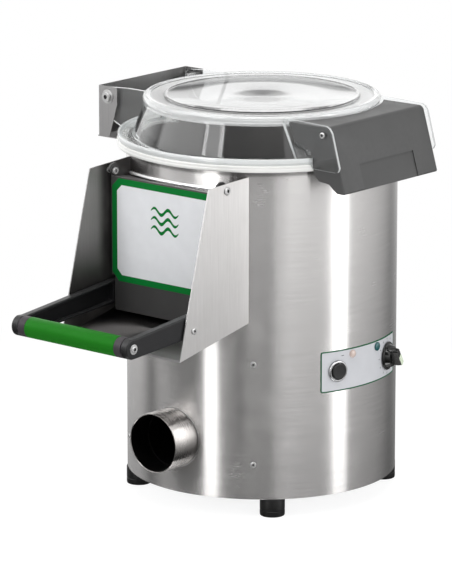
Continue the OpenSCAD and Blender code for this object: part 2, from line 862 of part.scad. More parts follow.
module door_panel() {
    color([0.25, 0.25, 0.25]) difference() {
        union() {
            difference() {
                door_outline(0, door_y, door_y + 60);
                door_outline(door_wall, door_y + door_wall, door_y + 80);
                cylinder(r = seal_r + 2.3, h = far * 2);
            }
            both_sides() difference() {
                union() {
                    translate([0, pivot_y, pivot_z]) along_x(ear_r, door_half - door_wall, door_half);
                    side_plate([
                        [door_y, door_top - 2], [door_y + 34, door_top - 7],
                        [pivot_y + ear_r + 8, pivot_z - 4], [pivot_y + ear_r * 0.7, pivot_z + ear_r * 0.7],
                        [pivot_y - ear_r, pivot_z], [door_y, pivot_z - 3]
                    ], door_half - door_wall, door_half);
                }
                cylinder(r = seal_r + 2.3, h = far * 2);
            }
        }
        translate([0, pivot_y, pivot_z]) along_x(pivot_bolt_r + run_gap, -far, far);
    }
}

// Curved skin that closes the door's back
module door_back() {
    color("lightgray") intersection() {
        ring(seal_r + 2, seal_r, 0, far * 2);
        door_outline(0.5, -body_r - 20, -body_r + 60);
    }
}

module door_seal() {
    color("black") intersection() {
        ring(seal_r - touch, body_r + body_gap, 0, far * 2);
        difference() {
            door_outline(1.5, -body_r - 20, -body_r + 60);
            door_outline(9, -body_r - 30, -body_r + 70);
        }
    }
}

// Label outline with cut corners, inset by g
module label_shape(g) {
    w = label_half - g;
    z0 = label_z0 + g;
    z1 = label_z1 - g;
    c = label_chamfer - g * 0.4;
    polygon([
        [-w + c, z0], [w - c, z0], [w, z0 + c], [w, z1 - c],
        [w - c, z1], [-w + c, z1], [-w, z1 - c], [-w, z0 + c]
    ]);
}

module label_border() {
    color([0.03, 0.45, 0.2]) translate([0, door_y, 0]) rotate([90, 0, 0])
        linear_extrude(height = label_t) difference() {
            label_shape(0);
            label_shape(border_w);
        }
}

module label_field() {
    color([0.87, 0.87, 0.89]) translate([0, door_y, 0]) rotate([90, 0, 0])
        linear_extrude(height = label_t) label_shape(border_w);
}

module door_arms() {
    back_y = door_y + 26;
    shelf = 3;
    low = grip_z - grip_r;
    color([0.27, 0.27, 0.27]) both_sides() difference() {
        union() {
            side_plate([
                [back_y, arm_low_z], [back_y, arm_top_z], [door_y, arm_top_z],
                [grip_y, arm_end_z], [grip_y, low + 1], [door_y - 40, arm_low_z - 4]
            ], arm_in, arm_out);
            translate([0, grip_y, grip_z]) along_x(grip_r, arm_in, arm_out);
        }
        // Pocket in the arm's inner side
        side_plate([
            [door_y - 2, arm_low_z + shelf], [door_y - 2, arm_top_z - shelf],
            [grip_y + grip_r + 4, arm_end_z - shelf + 1.5], [grip_y + grip_r + 4, low + 1 + shelf],
            [door_y - 40, arm_low_z - 4 + shelf]
        ], arm_in - cut, arm_out - 3.5);
        translate([0, grip_y, grip_z]) along_x(3 + run_gap, 0, far);
        for (dz = [-arm_screw_rise, arm_screw_rise])
            translate([0, door_y + arm_screw_in, (arm_top_z + arm_low_z) / 2 + dz])
                along_x(screw_r + run_gap, 0, far);
    }
}

module arm_screws() {
    color("silver") both_sides() for (dz = [-arm_screw_rise, arm_screw_rise])
        translate([0, door_y + arm_screw_in, (arm_top_z + arm_low_z) / 2 + dz]) {
            along_x(screw_r, foot_half + touch / 2, arm_out);
            along_x(4, arm_out, arm_out + 1.2);
        }
}

module grip_sleeve() {
    color([0.13, 0.53, 0.12]) translate([0, grip_y, grip_z]) difference() {
        along_x(grip_r, -arm_in + collar_l, arm_in - collar_l);
        along_x(rod_r + run_gap, -far, far);
    }
}

module grip_ends() {
    color([0.35, 0.32, 0.35]) both_sides() translate([0, grip_y, grip_z]) difference() {
        along_x(grip_r, arm_in - collar_l, arm_in);
        along_x(rod_r + run_gap, 0, far);
    }
}

module grip_rod() {
    color("gray") translate([0, grip_y, grip_z]) difference() {
        along_x(rod_r, -arm_in, arm_in);
        both_sides() along_x(3, arm_in - rod_hole_l, far);
    }
}

module grip_screws() {
    color("silver") both_sides() translate([0, grip_y, grip_z]) {
        along_x(3 - run_gap, arm_in - rod_hole_l + 2, arm_out);
        along_x(7, arm_out, arm_out + 1);
        translate([arm_out + 1, 0, 0]) rotate([0, 90, 0]) socket_head(4.8, 1.5);
    }
}

module hinge_bracket() {
    side = [
        [bracket_x, bracket_foot], [bracket_x, bracket_top - 2], [bracket_x + 2, bracket_top],
        [hinge_x + 15, bracket_top], [hinge_x + 17, bracket_top - 2], [hinge_x + 17, hinge_z - 10],
        [hinge_x + 2, bracket_foot]
    ];
    color("silver") difference() {
        union() {
            both_ends() end_plate(side, bracket_half - bracket_t, bracket_half);
            block(
                bracket_x, bracket_x + bracket_t, -bracket_half, bracket_half,
                bracket_foot, bracket_top - 1.5);
            block(bracket_x, -100, -bracket_half, bracket_half, bracket_foot, bracket_foot + bracket_t);
        }
        cylinder(r = body_r + run_gap, h = far * 2);
        translate([hinge_x, 0, hinge_z]) along_y(hinge_bolt_r + touch, -far, far);
    }
}

module hinge_bolts() {
    nut_y = ear_half - ear_t - 1.5;
    color("silver") both_ends() translate([hinge_x, 0, hinge_z]) {
        along_y(hinge_bolt_r, nut_y - 6, bracket_half);
        along_y(8, nut_y - 5, nut_y);
        translate([0, bracket_half - bracket_t, 0]) rotate([90, 0, 0])
            cylinder(r = hinge_bolt_r + 3, h = 1.4);
        along_y(10, bracket_half, bracket_half + 1.5);
        translate([0, bracket_half + 1.5, 0]) rotate([-90, 0, 0]) socket_head(7, 4);
    }
}

module hinge_bushes() {
    color("white") both_ends() translate([hinge_x, 0, hinge_z]) difference() {
        along_y(bush_r, ear_half - ear_t, ear_half);
        along_y(hinge_bolt_r + run_gap, 0, far);
    }
}

// Section of the clear lid from its centre to its flange
module lid_section() {
    foot_z = lid_z + flange_t;
    neck_z = bead_z - bead_r;
    deck_z = lid_top - 1.5;
    difference() {
        union() {
            // Flange with its raised edge
            translate([lid_foot_r - lid_t, lid_z]) square([lid_flange_r - lid_foot_r + lid_t, flange_t]);
            round_rect(lid_flange_r - 5, lid_flange_r, lid_z, lid_z + 8.5, 2);
            // Wall
            polygon([
                [lid_foot_r - lid_t, lid_z], [lid_foot_r, lid_z], [lid_foot_r, foot_z],
                [lid_neck_r, neck_z], [lid_neck_r, bead_z], [lid_neck_r - lid_t, bead_z],
                [lid_neck_r - lid_t, neck_z], [lid_foot_r - lid_t, foot_z]
            ]);
            // Bead
            translate([bead_x, bead_z]) circle(r = bead_r, $fn = 48);
            // Deck, ridge and dished disc
            translate([disc_r, deck_z - lid_t]) square([bead_x - disc_r, lid_t]);
            translate([disc_r, lid_top - lid_t / 2 - 1.2]) circle(r = lid_t / 2 + 1, $fn = 32);
            polygon([
                [0, deck_z - lid_t - 3], [disc_r, deck_z - lid_t], [disc_r, deck_z],
                [gate_r + 2, deck_z - 3], [gate_r, deck_z - 2], [0, deck_z - 2]
            ]);
        }
        // Hollow of the bead, which is open to the room under the deck
        translate([bead_x, bead_z]) circle(r = bead_r - lid_t, $fn = 48);
        translate([bead_x - bead_r - cut, neck_z - cut])
            square([lid_neck_r - lid_t - bead_x + bead_r + cut, deck_z - lid_t - neck_z + cut]);
    }
}

// Room inside the lid's wall
module lid_room() {
    rotate_extrude() polygon([
        [0, 0], [lid_foot_r - lid_t, 0], [lid_foot_r - lid_t, lid_z + flange_t],
        [lid_neck_r - lid_t, bead_z - bead_r], [lid_neck_r - lid_t, lid_top], [0, lid_top]
    ]);
}

module lid_dome() {
    foot_x = handle_x(lid_z);
    handle_cheek = [
        [cheek_start, lid_z + 2], [cheek_start, handle_top_z + 4.5],
        [handle_top_x - 3.5, handle_top_z + 2.2], [handle_top_x + 2.5, handle_top_z - 0.5],
        [handle_top_x + 6.8, handle_top_z - 6.5],
        [foot_x + 3.4, lid_z + 1], [foot_x + 0.5, lid_z - 4.5], [foot_x - 4, lid_z - 5.5],
        [lid_flange_r - 23.5, lid_z - 5], [lid_flange_r - 26.5, lid_z]
    ];
    hinge_cheek = [
        [hinge_x + 84, lid_z + 3], [hinge_x + 84, lid_top - 2], [hinge_x + 34, lid_top - 2],
        [hinge_x, hinge_z + 11],
        [hinge_x - lid_ear_r * 0.7, hinge_z + lid_ear_r * 0.7], [hinge_x - lid_ear_r, hinge_z],
        [hinge_x - lid_ear_r * 0.7, hinge_z - lid_ear_r * 0.7],
        [hinge_x + 5.5, lid_z + 10.4], [1 - lid_foot_r, lid_z + 2.5]
    ];
    color([0.85, 0.9, 0.92, 0.5]) union() {
        rotate_extrude() lid_section();
        difference() {
            union() {
                both_ends() end_plate(handle_cheek, handle_half, handle_half + cheek_t);
                both_ends() end_plate(hinge_cheek, ear_half - ear_t, ear_half);
                both_ends() translate([hinge_x, 0, hinge_z]) along_y(lid_ear_r, ear_half - ear_t, ear_half);
            }
            lid_room();
            translate([hinge_x, 0, hinge_z]) along_y(bush_r + touch / 2, -far, far);
            translate([handle_top_x - 9, 0, handle_top_z - 11]) along_y(screw_r + touch, -far, far);
        }
    }
}

module handle_cover() {
    cover_in = lid_neck_r + bead_out + cover_clear;
    foot_x = handle_x(cover_foot_z);
    rail_x = lid_flange_r - 26;
    outer = [
        [cheek_start, handle_top_z - 0.6], [handle_top_x - 7, handle_top_z + 0.8],
        [handle_top_x - 3, handle_top_z - 0.2], [handle_top_x - 0.3, handle_top_z - 2.6],
        [handle_x(handle_top_z - 5.5), handle_top_z - 5.5],
        [foot_x, cover_foot_z], [foot_x - 15, cover_foot_z], [foot_x - 21, cover_foot_z + 4.5],
        [foot_x - 29, cover_foot_z + 11], [foot_x - 46, cover_foot_z + 13],
        [foot_x - 52, cover_foot_z + 18],
        [rail_x, lid_z - 9], [rail_x, lid_z + 11], [rail_x - 12, lid_z + 12], [rail_x - 14, lid_z + 18],
        [rail_x - 33, lid_z + 24], [rail_x - 41, handle_top_z - 2], [cheek_start, handle_top_z - 6]
    ];
    hollow = [
        [0, handle_top_z - cover_t - 0.6], [handle_top_x - 7.5, handle_top_z - cover_t + 0.6],
        [handle_top_x - 3.5, handle_top_z - cover_t - 3],
        [foot_x - cover_t * 1.1, cover_foot_z], [foot_x - cover_t * 1.1, cover_foot_z - 5],
        [0, cover_foot_z - 5]
    ];
    recess_top = cover_foot_z + recess_h;
    backing_z = recess_top + 6;
    backing_x = handle_x(backing_z);
    color([0.34, 0.34, 0.34]) difference() {
        union() {
            difference() {
                end_plate(outer, -cover_half, cover_half);
                end_plate(hollow, -cover_half + cover_t, cover_half - cover_t);
            }
            // Backing of the grip recess
            end_plate([
                [backing_x - cover_t - 2, backing_z], [backing_x - 1, backing_z],
                [foot_x - 1, cover_foot_z], [foot_x - cover_t - 2, cover_foot_z]
            ], -recess_half - 3, recess_half + 3);
        }
        end_plate([
            [handle_x(recess_top) - recess_d, recess_top], [handle_x(recess_top) + 5, recess_top],
            [foot_x + 10, cover_foot_z - 5], [handle_x(cover_foot_z - 5) - recess_d, cover_foot_z - 5]
        ], -recess_half, recess_half);
        translate([0, 0, lid_z + 10]) cylinder(r = cover_in, h = far);
        rotate_extrude() polygon([
            [0, lid_z - 30], [lid_flange_r + 2, lid_z - 30], [lid_flange_r + 2, lid_z + 10],
            [lid_foot_r + 3, lid_z + 10], [lid_neck_r + 3, bead_z - bead_r], [0, bead_z - bead_r]
        ]);
        translate([handle_top_x - 9, 0, handle_top_z - 11]) along_y(screw_r + run_gap, -far, far);
    }
}

module cover_screws() {
    color("silver") both_ends() translate([handle_top_x - 9, 0, handle_top_z - 11]) {
        along_y(screw_r, cover_half - cover_t - 6, handle_half + cheek_t);
        along_y(4, cover_half - cover_t - 3, cover_half - cover_t);
        translate([0, handle_half + cheek_t, 0]) rotate([-90, 0, 0]) button_head(4.5, 2.4);
    }
}

module lid_magnet() {
    z = cover_foot_z + recess_h + 12;
    x = handle_x(z + 10) - cover_t * 1.1 - 1.6;
    color("dimgray") block(x - 5, x, -10, 10, z - 10, z + 10);
}

module lid_sensor() {
    color("black") block(drum_r + 1, drum_r + 9, -8, 8, bracket_foot - 30, body_top - 0.2);
}

module panel_label() {
    color([0.87, 0.87, 0.89]) difference() {
        intersection() {
            ring(panel_r, panel_r - panel_t, panel_z - panel_h, panel_z + panel_h);
            rotate([90, 0, 90]) linear_extrude(height = far) round_rect(
                -body_r * sin(panel_half_angle), body_r * sin(panel_half_angle),
                panel_z - panel_h / 2, panel_z + panel_h / 2, 3);
        }
        on_shell(button_angle, panel_z) translate([0, 0, -10]) cylinder(r = cap_r + touch, h = 20);
        on_shell(white_angle, panel_z + lamp_rise) translate([0, 0, -10]) cylinder(r = 4.1, h = 20);
        on_shell(green_angle, panel_z + lamp_rise) translate([0, 0, -10]) cylinder(r = 4.1, h = 20);
        on_shell(timer_angle, panel_z) translate([0, 0, -10]) cylinder(r = 5, h = 20);
    }
}

module button_bezel() {
    color("silver") on_shell(button_angle, panel_z) {
        difference() {
            union() {
                translate([0, 0, control_z]) cylinder(r = bezel_r, h = 2.8);
                translate([0, 0, control_z + 2.8]) cylinder(r1 = bezel_r, r2 = bezel_r - 1.2, h = 1.2);
                translate([0, 0, -22]) cylinder(r = cap_r, h = 23);
                translate([0, 0, -7]) cylinder(r = cap_r + 4, h = 4, $fn = 6);
            }
            translate([0, 0, 1]) cylinder(r = cap_r + body_gap, h = 10);
            translate([0, 0, -23]) cylinder(r = stem_r + run_gap, h = 30);
        }
    }
}

module button_cap() {
    color([0.12, 0.12, 0.12]) on_shell(button_angle, panel_z) {
        translate([0, 0, button_travel + 1.3]) cylinder(r = cap_r, h = cap_h - 0.8);
        translate([0, 0, button_travel + 0.5 + cap_h]) cylinder(r1 = cap_r, r2 = cap_r - 0.8, h = 0.8);
        translate([0, 0, -14]) cylinder(r = stem_r, h = 16 + button_travel);
    }
}

module contact_block() {
    color("black") on_shell(button_angle, panel_z) translate([-14, -18, -52]) cube([28, 36, 30]);
}

// A lamp with a lens of radius r
module lamp(angle, r) {
    on_shell(angle, panel_z + lamp_rise) {
        translate([0, 0, -16]) cylinder(r = 4, h = 18);
        translate([0, 0, control_z]) cylinder(r = r, h = 1.4);
        intersection() {
            translate([0, 0, control_z + 1.4]) cylinder(r = r - 0.5, h = 10);
            translate([0, 0, control_z + 1.4 - r]) sphere(r = r * 1.4);
        }
    }
}

module lamp_white() {
    color("mistyrose") lamp(white_angle, white_lamp_r);
}

module lamp_green() {
    color("teal") lamp(green_angle, green_lamp_r);
}

module timer_body() {
    color("ivory") on_shell(timer_angle, panel_z) difference() {
        union() {
            translate([-timer_w / 2, -timer_w / 2, -timer_d - 8]) cube([timer_w, timer_w, timer_d]);
            translate([0, 0, -8]) cylinder(r = 4.9, h = 8);
        }
        translate([0, 0, -knob_shaft_l - 2]) cylinder(r = 3 + run_gap, h = knob_shaft_l + 12);
    }
}

module timer_knob() {
    z0 = panel_t + 0.5;
    skirt_r = knob_r - 3.5;
    grip_w = 9;
    color([0.06, 0.06, 0.06]) on_shell(timer_angle, panel_z) {
        translate([0, 0, -knob_shaft_l]) cylinder(r = 3, h = knob_shaft_l + 2);
        translate([0, 0, z0]) cylinder(r = knob_r, h = 2.5);
        translate([0, 0, z0 + 2.5]) cylinder(r1 = skirt_r, r2 = skirt_r - 2.5, h = knob_h * 0.35);
        rotate([0, 0, knob_tilt]) translate([-grip_w / 2, -skirt_r, z0 + 2])
            cube([grip_w, 2 * skirt_r, knob_h - z0 - 2]);
    }
}

module shell_screws() {
    color("silver") for (a = strut_angles, z = [screw_low_z, screw_high_z]) on_shell(a, z) {
        translate([0, 0, -8]) cylinder(r = screw_r, h = 8.2);
        translate([0, 0, 0.05]) button_head(4, 2);
    }
}

module water_valve() {
    color("dimgray") on_shell(180, inlet_z) difference() {
        union() {
            translate([0, 0, 0.2]) cylinder(r = 15, h = 3);
            translate([0, 0, 3]) cylinder(r = 12, h = 10);
            translate([-14, -10, 4]) cube([28, 20, 16]);
            translate([0, 8, 12]) rotate([-90, 0, 0]) cylinder(r = 8, h = 20);
            translate([0, 0, 20]) cylinder(r = inlet_r, h = inlet_l);
            translate([0, 0, -5]) cylinder(r = 10, h = 6);
        }
        translate([0, 0, 16]) cylinder(r = inlet_r - 3.5, h = far);
        translate([0, 0, -6]) cylinder(r = 5, h = 24);
    }
}

module spray_pipe() {
    color("silver") on_shell(180, inlet_z) difference() {
        translate([0, 0, -drum_gap - 12]) cylinder(r = 8, h = drum_gap + 6.8);
        translate([0, 0, -drum_gap - 9]) cylinder(r = 5, h = far);
        for (x = [-4, 0, 4]) translate([x, -far / 2, -drum_gap - 7])
            rotate([-90, 0, 0]) cylinder(r = 1, h = far);
    }
}

module cable_gland() {
    color("black") on_shell(gland_angle, gland_z) difference() {
        union() {
            translate([0, 0, -8]) cylinder(r = gland_bore_r + 3, h = 10);
            translate([0, 0, 0.2]) cylinder(r = gland_bore_r + 6, h = 6, $fn = 6);
            translate([0, 0, 6]) cylinder(r = gland_bore_r + 4.5, h = 8);
            translate([0, 0, 14]) cylinder(r1 = gland_bore_r + 4.5, r2 = gland_bore_r + 2.5, h = 4);
            translate([0, 0, -7]) cylinder(r = gland_bore_r + 6, h = 4, $fn = 6);
        }
        translate([0, 0, gland_seat - cut]) cylinder(r = gland_bore_r, h = 40);
        translate([0, 0, -10]) cylinder(r = gland_bore_r + 1, h = 10 + gland_seat);
    }
}

outer_shell();
body_rim();
rim_gasket();
drum_wall();
door_frame();
sump_pan();
drain_elbow();
drain_spout();
chassis_plate();
base_plate();
feet();
foot_bolts();
frame_struts();
bearing_housing();
shaft_bearings();
shaft_seal();
drive_belt();
motor_body();
control_box();
discharge_chute();
door_pivot_bolts();
guide_pads();
guide_screws();
hinge_bracket();
hinge_bolts();
panel_label();
button_bezel();
contact_block();
lamp_white();
lamp_green();
timer_body();
shell_screws();
water_valve();
spray_pipe();
cable_gland();
lid_sensor();
door_panel();
label_border();
label_field();
door_seal();
door_back();
door_arms();
grip_sleeve();
grip_ends();
grip_rod();
grip_screws();
arm_screws();
lid_dome();
handle_cover();
cover_screws();
lid_magnet();
hinge_bushes();
rotating_plate();
drive_shaft();
driven_pulley();
plate_nut();
motor_shaft();
motor_pulley();
button_cap();
timer_knob();
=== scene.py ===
import json
import math

import bmesh
import bpy
from mathutils import Matrix, Vector


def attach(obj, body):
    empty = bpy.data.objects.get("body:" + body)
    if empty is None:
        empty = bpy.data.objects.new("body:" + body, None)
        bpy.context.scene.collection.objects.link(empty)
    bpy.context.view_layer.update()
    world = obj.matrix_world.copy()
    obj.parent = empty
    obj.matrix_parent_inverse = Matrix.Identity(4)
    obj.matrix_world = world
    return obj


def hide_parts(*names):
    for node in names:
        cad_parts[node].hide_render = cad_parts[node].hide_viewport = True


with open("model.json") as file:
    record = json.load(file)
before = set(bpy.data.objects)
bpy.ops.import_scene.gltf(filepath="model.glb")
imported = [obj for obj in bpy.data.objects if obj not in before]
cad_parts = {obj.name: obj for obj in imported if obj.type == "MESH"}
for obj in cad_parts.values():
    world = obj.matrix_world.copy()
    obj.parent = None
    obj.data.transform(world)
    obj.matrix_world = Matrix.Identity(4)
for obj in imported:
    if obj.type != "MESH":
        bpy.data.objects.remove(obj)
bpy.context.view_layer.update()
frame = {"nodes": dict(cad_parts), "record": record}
nodes = frame["nodes"]
mm = 0.001
print("frame loaded:", len(nodes), "nodes")


# camera, light and floor

camera = {
    "place": (3.7430, -4.4784, 1.7048),
    "turn": (76.229, 0.0, 40.38),  # in degrees
    "lens": 263.03,
    "sensor": 36.0,
}

studio = {
    # level of the studio tent by compass angle in degrees from +X, seen only in reflections
    "walls": [
        (-180, 0.84), (-171, 0.85), (-163.7, 0.69), (-157, 0.44), (-151.5, 0.27), (-146, 0.47), (-141, 0.59),
        (-132, 0.54), (-119, 0.38), (-103.5, 0.36), (-99, 0.60), (-96.8, 1.2), (-95.6, 3.0), (-86.2, 3.0),
        (-84.6, 0.98), (-79.6, 0.66), (-73, 0.46), (-66.6, 0.29), (-60.5, 0.40), (-57, 0.43), (-44.5, 0.42),
        (-41, 0.54), (-38, 0.76), (-33, 0.89), (-12, 0.86), (0, 0.84), (5, 0.98), (9, 1.5), (10.5, 3.0),
        (21.5, 3.0), (24, 1.0), (29.7, 0.86), (38.9, 0.76), (54.7, 0.64), (67.5, 0.50), (84.5, 0.28),
        (97, 0.35), (112, 0.50), (150, 0.80), (180, 0.84)],
    "radius": 1.6,
    "low": -2.4,
    "high": 1.7,
    "rise": 2.0,  # how fast the walls get brighter with height
    "most": 2.1,  # where that stops
    "columns": 480,
    "rows": 90,
    "softHeight": 0.05,  # how high the soft edge of a hung cloth or lamp is
    # cloths and lamps on the walls: from angle, to angle, low, high, level, soft edge in degrees
    "hung": [
        (-152, -104, 0.72, 1.8, 4.0, 5), (-104, -100.5, 0.62, 1.8, 12, 1), (-100.5, -89, 0.62, 1.8, 5.5, 1),
        (-89, -85, 0.62, 1.8, 12, 1), (-85, -30, 0.62, 1.8, 0.12, 2), (10.5, 21.5, 0.6, 1.4, 9, 1),
        (108, 156, 0.60, 0.93, 1.25, 3), (122, 137, 0.60, 0.93, 1.65, 6), (108, 156, 0.955, 1.10, 0.55, 3)],
    # above the walls, by compass angle
    "ceiling": [
        (-180, 1.6), (-150, 2.4), (-106, 2.4), (-92, 2.4), (-86, 5.0), (-14, 5.0), (0, 1.6), (14, 1.6),
        (30, 1.0), (80, 0.7), (150, 0.9), (180, 1.6)],
    "soft": 0.62,  # light that dull surfaces get from all round
    "fill": (1.0, 1.0, 1.0),
}

lamps = {
    "overhead": {"at": (0.3, -0.4, 2.6), "to": (0, 0, 0.3), "size": (2.2, 2.2), "watts": 26},
    "frontLeft": {"at": (-1.4, -2.6, 1.6), "to": (0, 0, 0.3), "size": (1.0, 1.8), "watts": 22},
    "frontRight": {"at": (2.9, -0.2, 1.3), "to": (0, 0, 0.3), "size": (0.8, 1.8), "watts": 18},
}

floorLook = {
    "half": 3.0,
    "color": (0.90, 0.90, 0.90),
    "shadowed": 0.24,  # share of the floor's light that a shadow can take away
    "whiteNear": 0.86,
    "fadeStart": 0.42,
    "fadeEnd": 0.95,
}


def makeCamera(values):
    data = bpy.data.cameras.new("camera")
    data.lens = values["lens"]
    data.sensor_width = values["sensor"]
    eye = bpy.data.objects.new("camera", data)
    eye.location = values["place"]
    eye.rotation_euler = [math.radians(turn) for turn in values["turn"]]
    bpy.context.scene.collection.objects.link(eye)
    bpy.context.scene.camera = eye


def addNode(tree, kind, **settings):
    node = tree.nodes.new(kind)
    for key, value in settings.items():
        if key in node.inputs:
            node.inputs[key].default_value = value
        else:
            setattr(node, key, value)
    return node


def feed(tree, socket, value):
    # a plain number or colour is set, the output of another node is linked
    if isinstance(value, (int, float)):
        socket.default_value = value
    elif isinstance(value, (tuple, list)):
        socket.default_value = (*value, 1)
    else:
        tree.links.new(value, socket)


def feedAll(tree, node, values):
    for label, value in values.items():
        feed(tree, node.inputs[label], value)


def mathNode(tree, operation, *values, clamp=False):
    node = tree.nodes.new("ShaderNodeMath")
    node.operation = operation
    node.use_clamp = clamp
    for socket, value in zip(node.inputs, values):
        feed(tree, socket, value)
    return node.outputs[0]


def mixShaders(tree, factor, first, second):
    node = tree.nodes.new("ShaderNodeMixShader")
    for socket, source in zip(node.inputs, (factor, first, second)):
        tree.links.new(source, socket)
    return node.outputs[0]


def smoothStep(tree, source, low, high):
    node = tree.nodes.new("ShaderNodeMapRange")
    node.interpolation_type = "SMOOTHSTEP"
    node.inputs["From Min"].default_value = low
    node.inputs["From Max"].default_value = high
    tree.links.new(source, node.inputs["Value"])
    return node.outputs[0]


def splitAxes(tree, source):
    node = tree.nodes.new("ShaderNodeSeparateXYZ")
    tree.links.new(source, node.inputs[0])
    return node.outputs


def rampNode(tree, source, stops, smooth="LINEAR"):
    node = tree.nodes.new("ShaderNodeValToRGB")
    node.color_ramp.interpolation = smooth
    elements = node.color_ramp.elements
    while len(elements) < len(stops):
        elements.new(0.5)
    for element, (position, level) in zip(elements, sorted(stops)):
        element.position = position
        color = level if isinstance(level, (tuple, list)) else (level, level, level)
        element.color = (*color, 1)
    tree.links.new(source, node.inputs[0])
    return node.outputs[0]


def levelAt(stops, angle):
    for (a, low), (b, high) in zip(stops, stops[1:]):
        if a <= angle <= b:
            return low + (high - low) * (angle - a) / (b - a)
    return stops[-1][1]


def makeWorld(values):
    world = bpy.data.worlds.new("studio")
    bpy.context.scene.world = world
    world.use_nodes = True
    tree = world.node_tree
    tree.nodes.clear()
    output = tree.nodes.new("ShaderNodeOutputWorld")
    coords = tree.nodes.new("ShaderNodeTexCoord")
    axes = splitAxes(tree, coords.outputs["Generated"])
    angle = mathNode(tree, "ARCTAN2", axes["Y"], axes["X"])
    turn = mathNode(tree, "MULTIPLY_ADD", angle, 0.5 / math.pi, 0.5)
    scale = max(stop[1] for stop in values["ceiling"])
    ceiling = rampNode(tree, turn, [((a + 180) / 360, level / scale) for a, level in values["ceiling"]])
    ceilingLight = addNode(tree, "ShaderNodeBackground", Strength=scale)
    tree.links.new(ceiling, ceilingLight.inputs["Color"])
    soft = addNode(tree, "ShaderNodeBackground", Color=(*values["fill"], 1), Strength=values["soft"])
    white = addNode(tree, "ShaderNodeBackground", Color=(1, 1, 1, 1), Strength=1.0)
    path = tree.nodes.new("ShaderNodeLightPath")
    dullOrShiny = mixShaders(tree, path.outputs["Is Glossy Ray"], soft.outputs[0], ceilingLight.outputs[0])
    seen = mathNode(tree, "MAXIMUM", path.outputs["Is Camera Ray"], path.outputs["Is Transmission Ray"])
    tree.links.new(mixShaders(tree, seen, dullOrShiny, white.outputs[0]), output.inputs[0])


def stagePiece(name, bm, materialName):
    mesh = bpy.data.meshes.new(name)
    bm.to_mesh(mesh)
    bm.free()
    thing = bpy.data.objects.new(name, mesh)
    bpy.context.scene.collection.objects.link(thing)
    material = bpy.data.materials.new(materialName)
    material.use_nodes = True
    material.node_tree.nodes.clear()
    mesh.materials.append(material)
    return thing, material, material.node_tree.nodes.new("ShaderNodeOutputMaterial")


def makeTent(values):
    # round wall of the studio, which shiny surfaces reflect and nothing else sees
    bm = bmesh.new()
    level = bm.verts.layers.float.new("level")
    count, rows = values["columns"], values["rows"]
    grid = []
    for k in range(rows + 1):
        z = values["low"] + (values["high"] - values["low"]) * k / rows
        lift = min(values["most"], math.exp(values["rise"] * z))
        ring = []
        for i in range(count):
            degrees = -180 + 360 * i / count
            a = math.radians(degrees)
            vert = bm.verts.new((values["radius"] * math.cos(a), values["radius"] * math.sin(a), z))
            vert[level] = levelAt(values["walls"], degrees) * lift
            for start, end, bottom, top, strength, soft in values["hung"]:
                inside = min(degrees - start, end - degrees) / soft + 0.5
                inside = min(inside, min(z - bottom, top - z) / values["softHeight"] + 0.5)
                vert[level] += (strength - vert[level]) * max(0, min(1, inside))
            ring.append(vert)
        grid.append(ring)
    for low, high in zip(grid, grid[1:]):
        for i in range(count):
            j = (i + 1) % count
            bm.faces.new((low[i], low[j], high[j], high[i]))
    tent, material, output = stagePiece("studioTent", bm, "tentCloth")
    tent.visible_camera = False
    tent.visible_diffuse = False
    tent.visible_transmission = False
    tent.visible_shadow = False
    material.cycles.emission_sampling = "NONE"
    tree = material.node_tree
    light = addNode(tree, "ShaderNodeEmission", Color=(1, 1, 1, 1))
    stored = addNode(tree, "ShaderNodeAttribute", attribute_name="level")
    tree.links.new(stored.outputs["Fac"], light.inputs["Strength"])
    tree.links.new(light.outputs[0], output.inputs[0])


def makeLamps(values):
    for name, lamp in values.items():
        data = bpy.data.lights.new(name, "AREA")
        data.shape = "RECTANGLE"
        data.size, data.size_y = lamp["size"]
        data.energy = lamp["watts"]
        light = bpy.data.objects.new(name, data)
        light.location = lamp["at"]
        aim = Vector(lamp["to"]) - Vector(lamp["at"])
        light.rotation_euler = aim.to_track_quat("-Z", "Y").to_euler()
        light.visible_camera = False
        light.visible_glossy = False
        light.visible_transmission = False
        bpy.context.scene.collection.objects.link(light)


def makeFloor(values):
    bm = bmesh.new()
    half = values["half"]
    corners = [bm.verts.new((x * half, y * half, 0)) for x, y in ((-1, -1), (1, -1), (1, 1), (-1, 1))]
    bm.faces.new(corners)
    floor, material, output = stagePiece("studioFloor", bm, "floorPaper")
    floor.visible_glossy = False
    tree = material.node_tree
    dull = addNode(tree, "ShaderNodeBsdfDiffuse", Color=(*values["color"], 1))
    share = values["shadowed"]
    seenDull = addNode(tree, "ShaderNodeBsdfDiffuse", Color=(share, share, share, 1))
    glow = addNode(tree, "ShaderNodeEmission", Color=(1, 1, 1, 1), Strength=1.0)
    glowNear = addNode(tree, "ShaderNodeEmission", Color=(1, 1, 1, 1), Strength=values["whiteNear"])
    both = tree.nodes.new("ShaderNodeAddShader")
    tree.links.new(seenDull.outputs[0], both.inputs[0])
    tree.links.new(glowNear.outputs[0], both.inputs[1])
    coords = tree.nodes.new("ShaderNodeTexCoord")
    length = addNode(tree, "ShaderNodeVectorMath", operation="LENGTH")
    tree.links.new(coords.outputs["Object"], length.inputs[0])
    fade = smoothStep(tree, length.outputs["Value"], values["fadeStart"], values["fadeEnd"])
    seen = mixShaders(tree, fade, both.outputs[0], glow.outputs[0])
    path = tree.nodes.new("ShaderNodeLightPath")
    rays = mathNode(tree, "MAXIMUM", path.outputs["Is Camera Ray"], path.outputs["Is Transmission Ray"])
    tree.links.new(mixShaders(tree, rays, dull.outputs[0], seen), output.inputs[0])


makeCamera(camera)
makeWorld(studio)
makeTent(studio)
makeLamps(lamps)
makeFloor(floorLook)
bpy.context.scene.view_settings.view_transform = "Standard"
print("camera and studio ready")


# shared surface effects

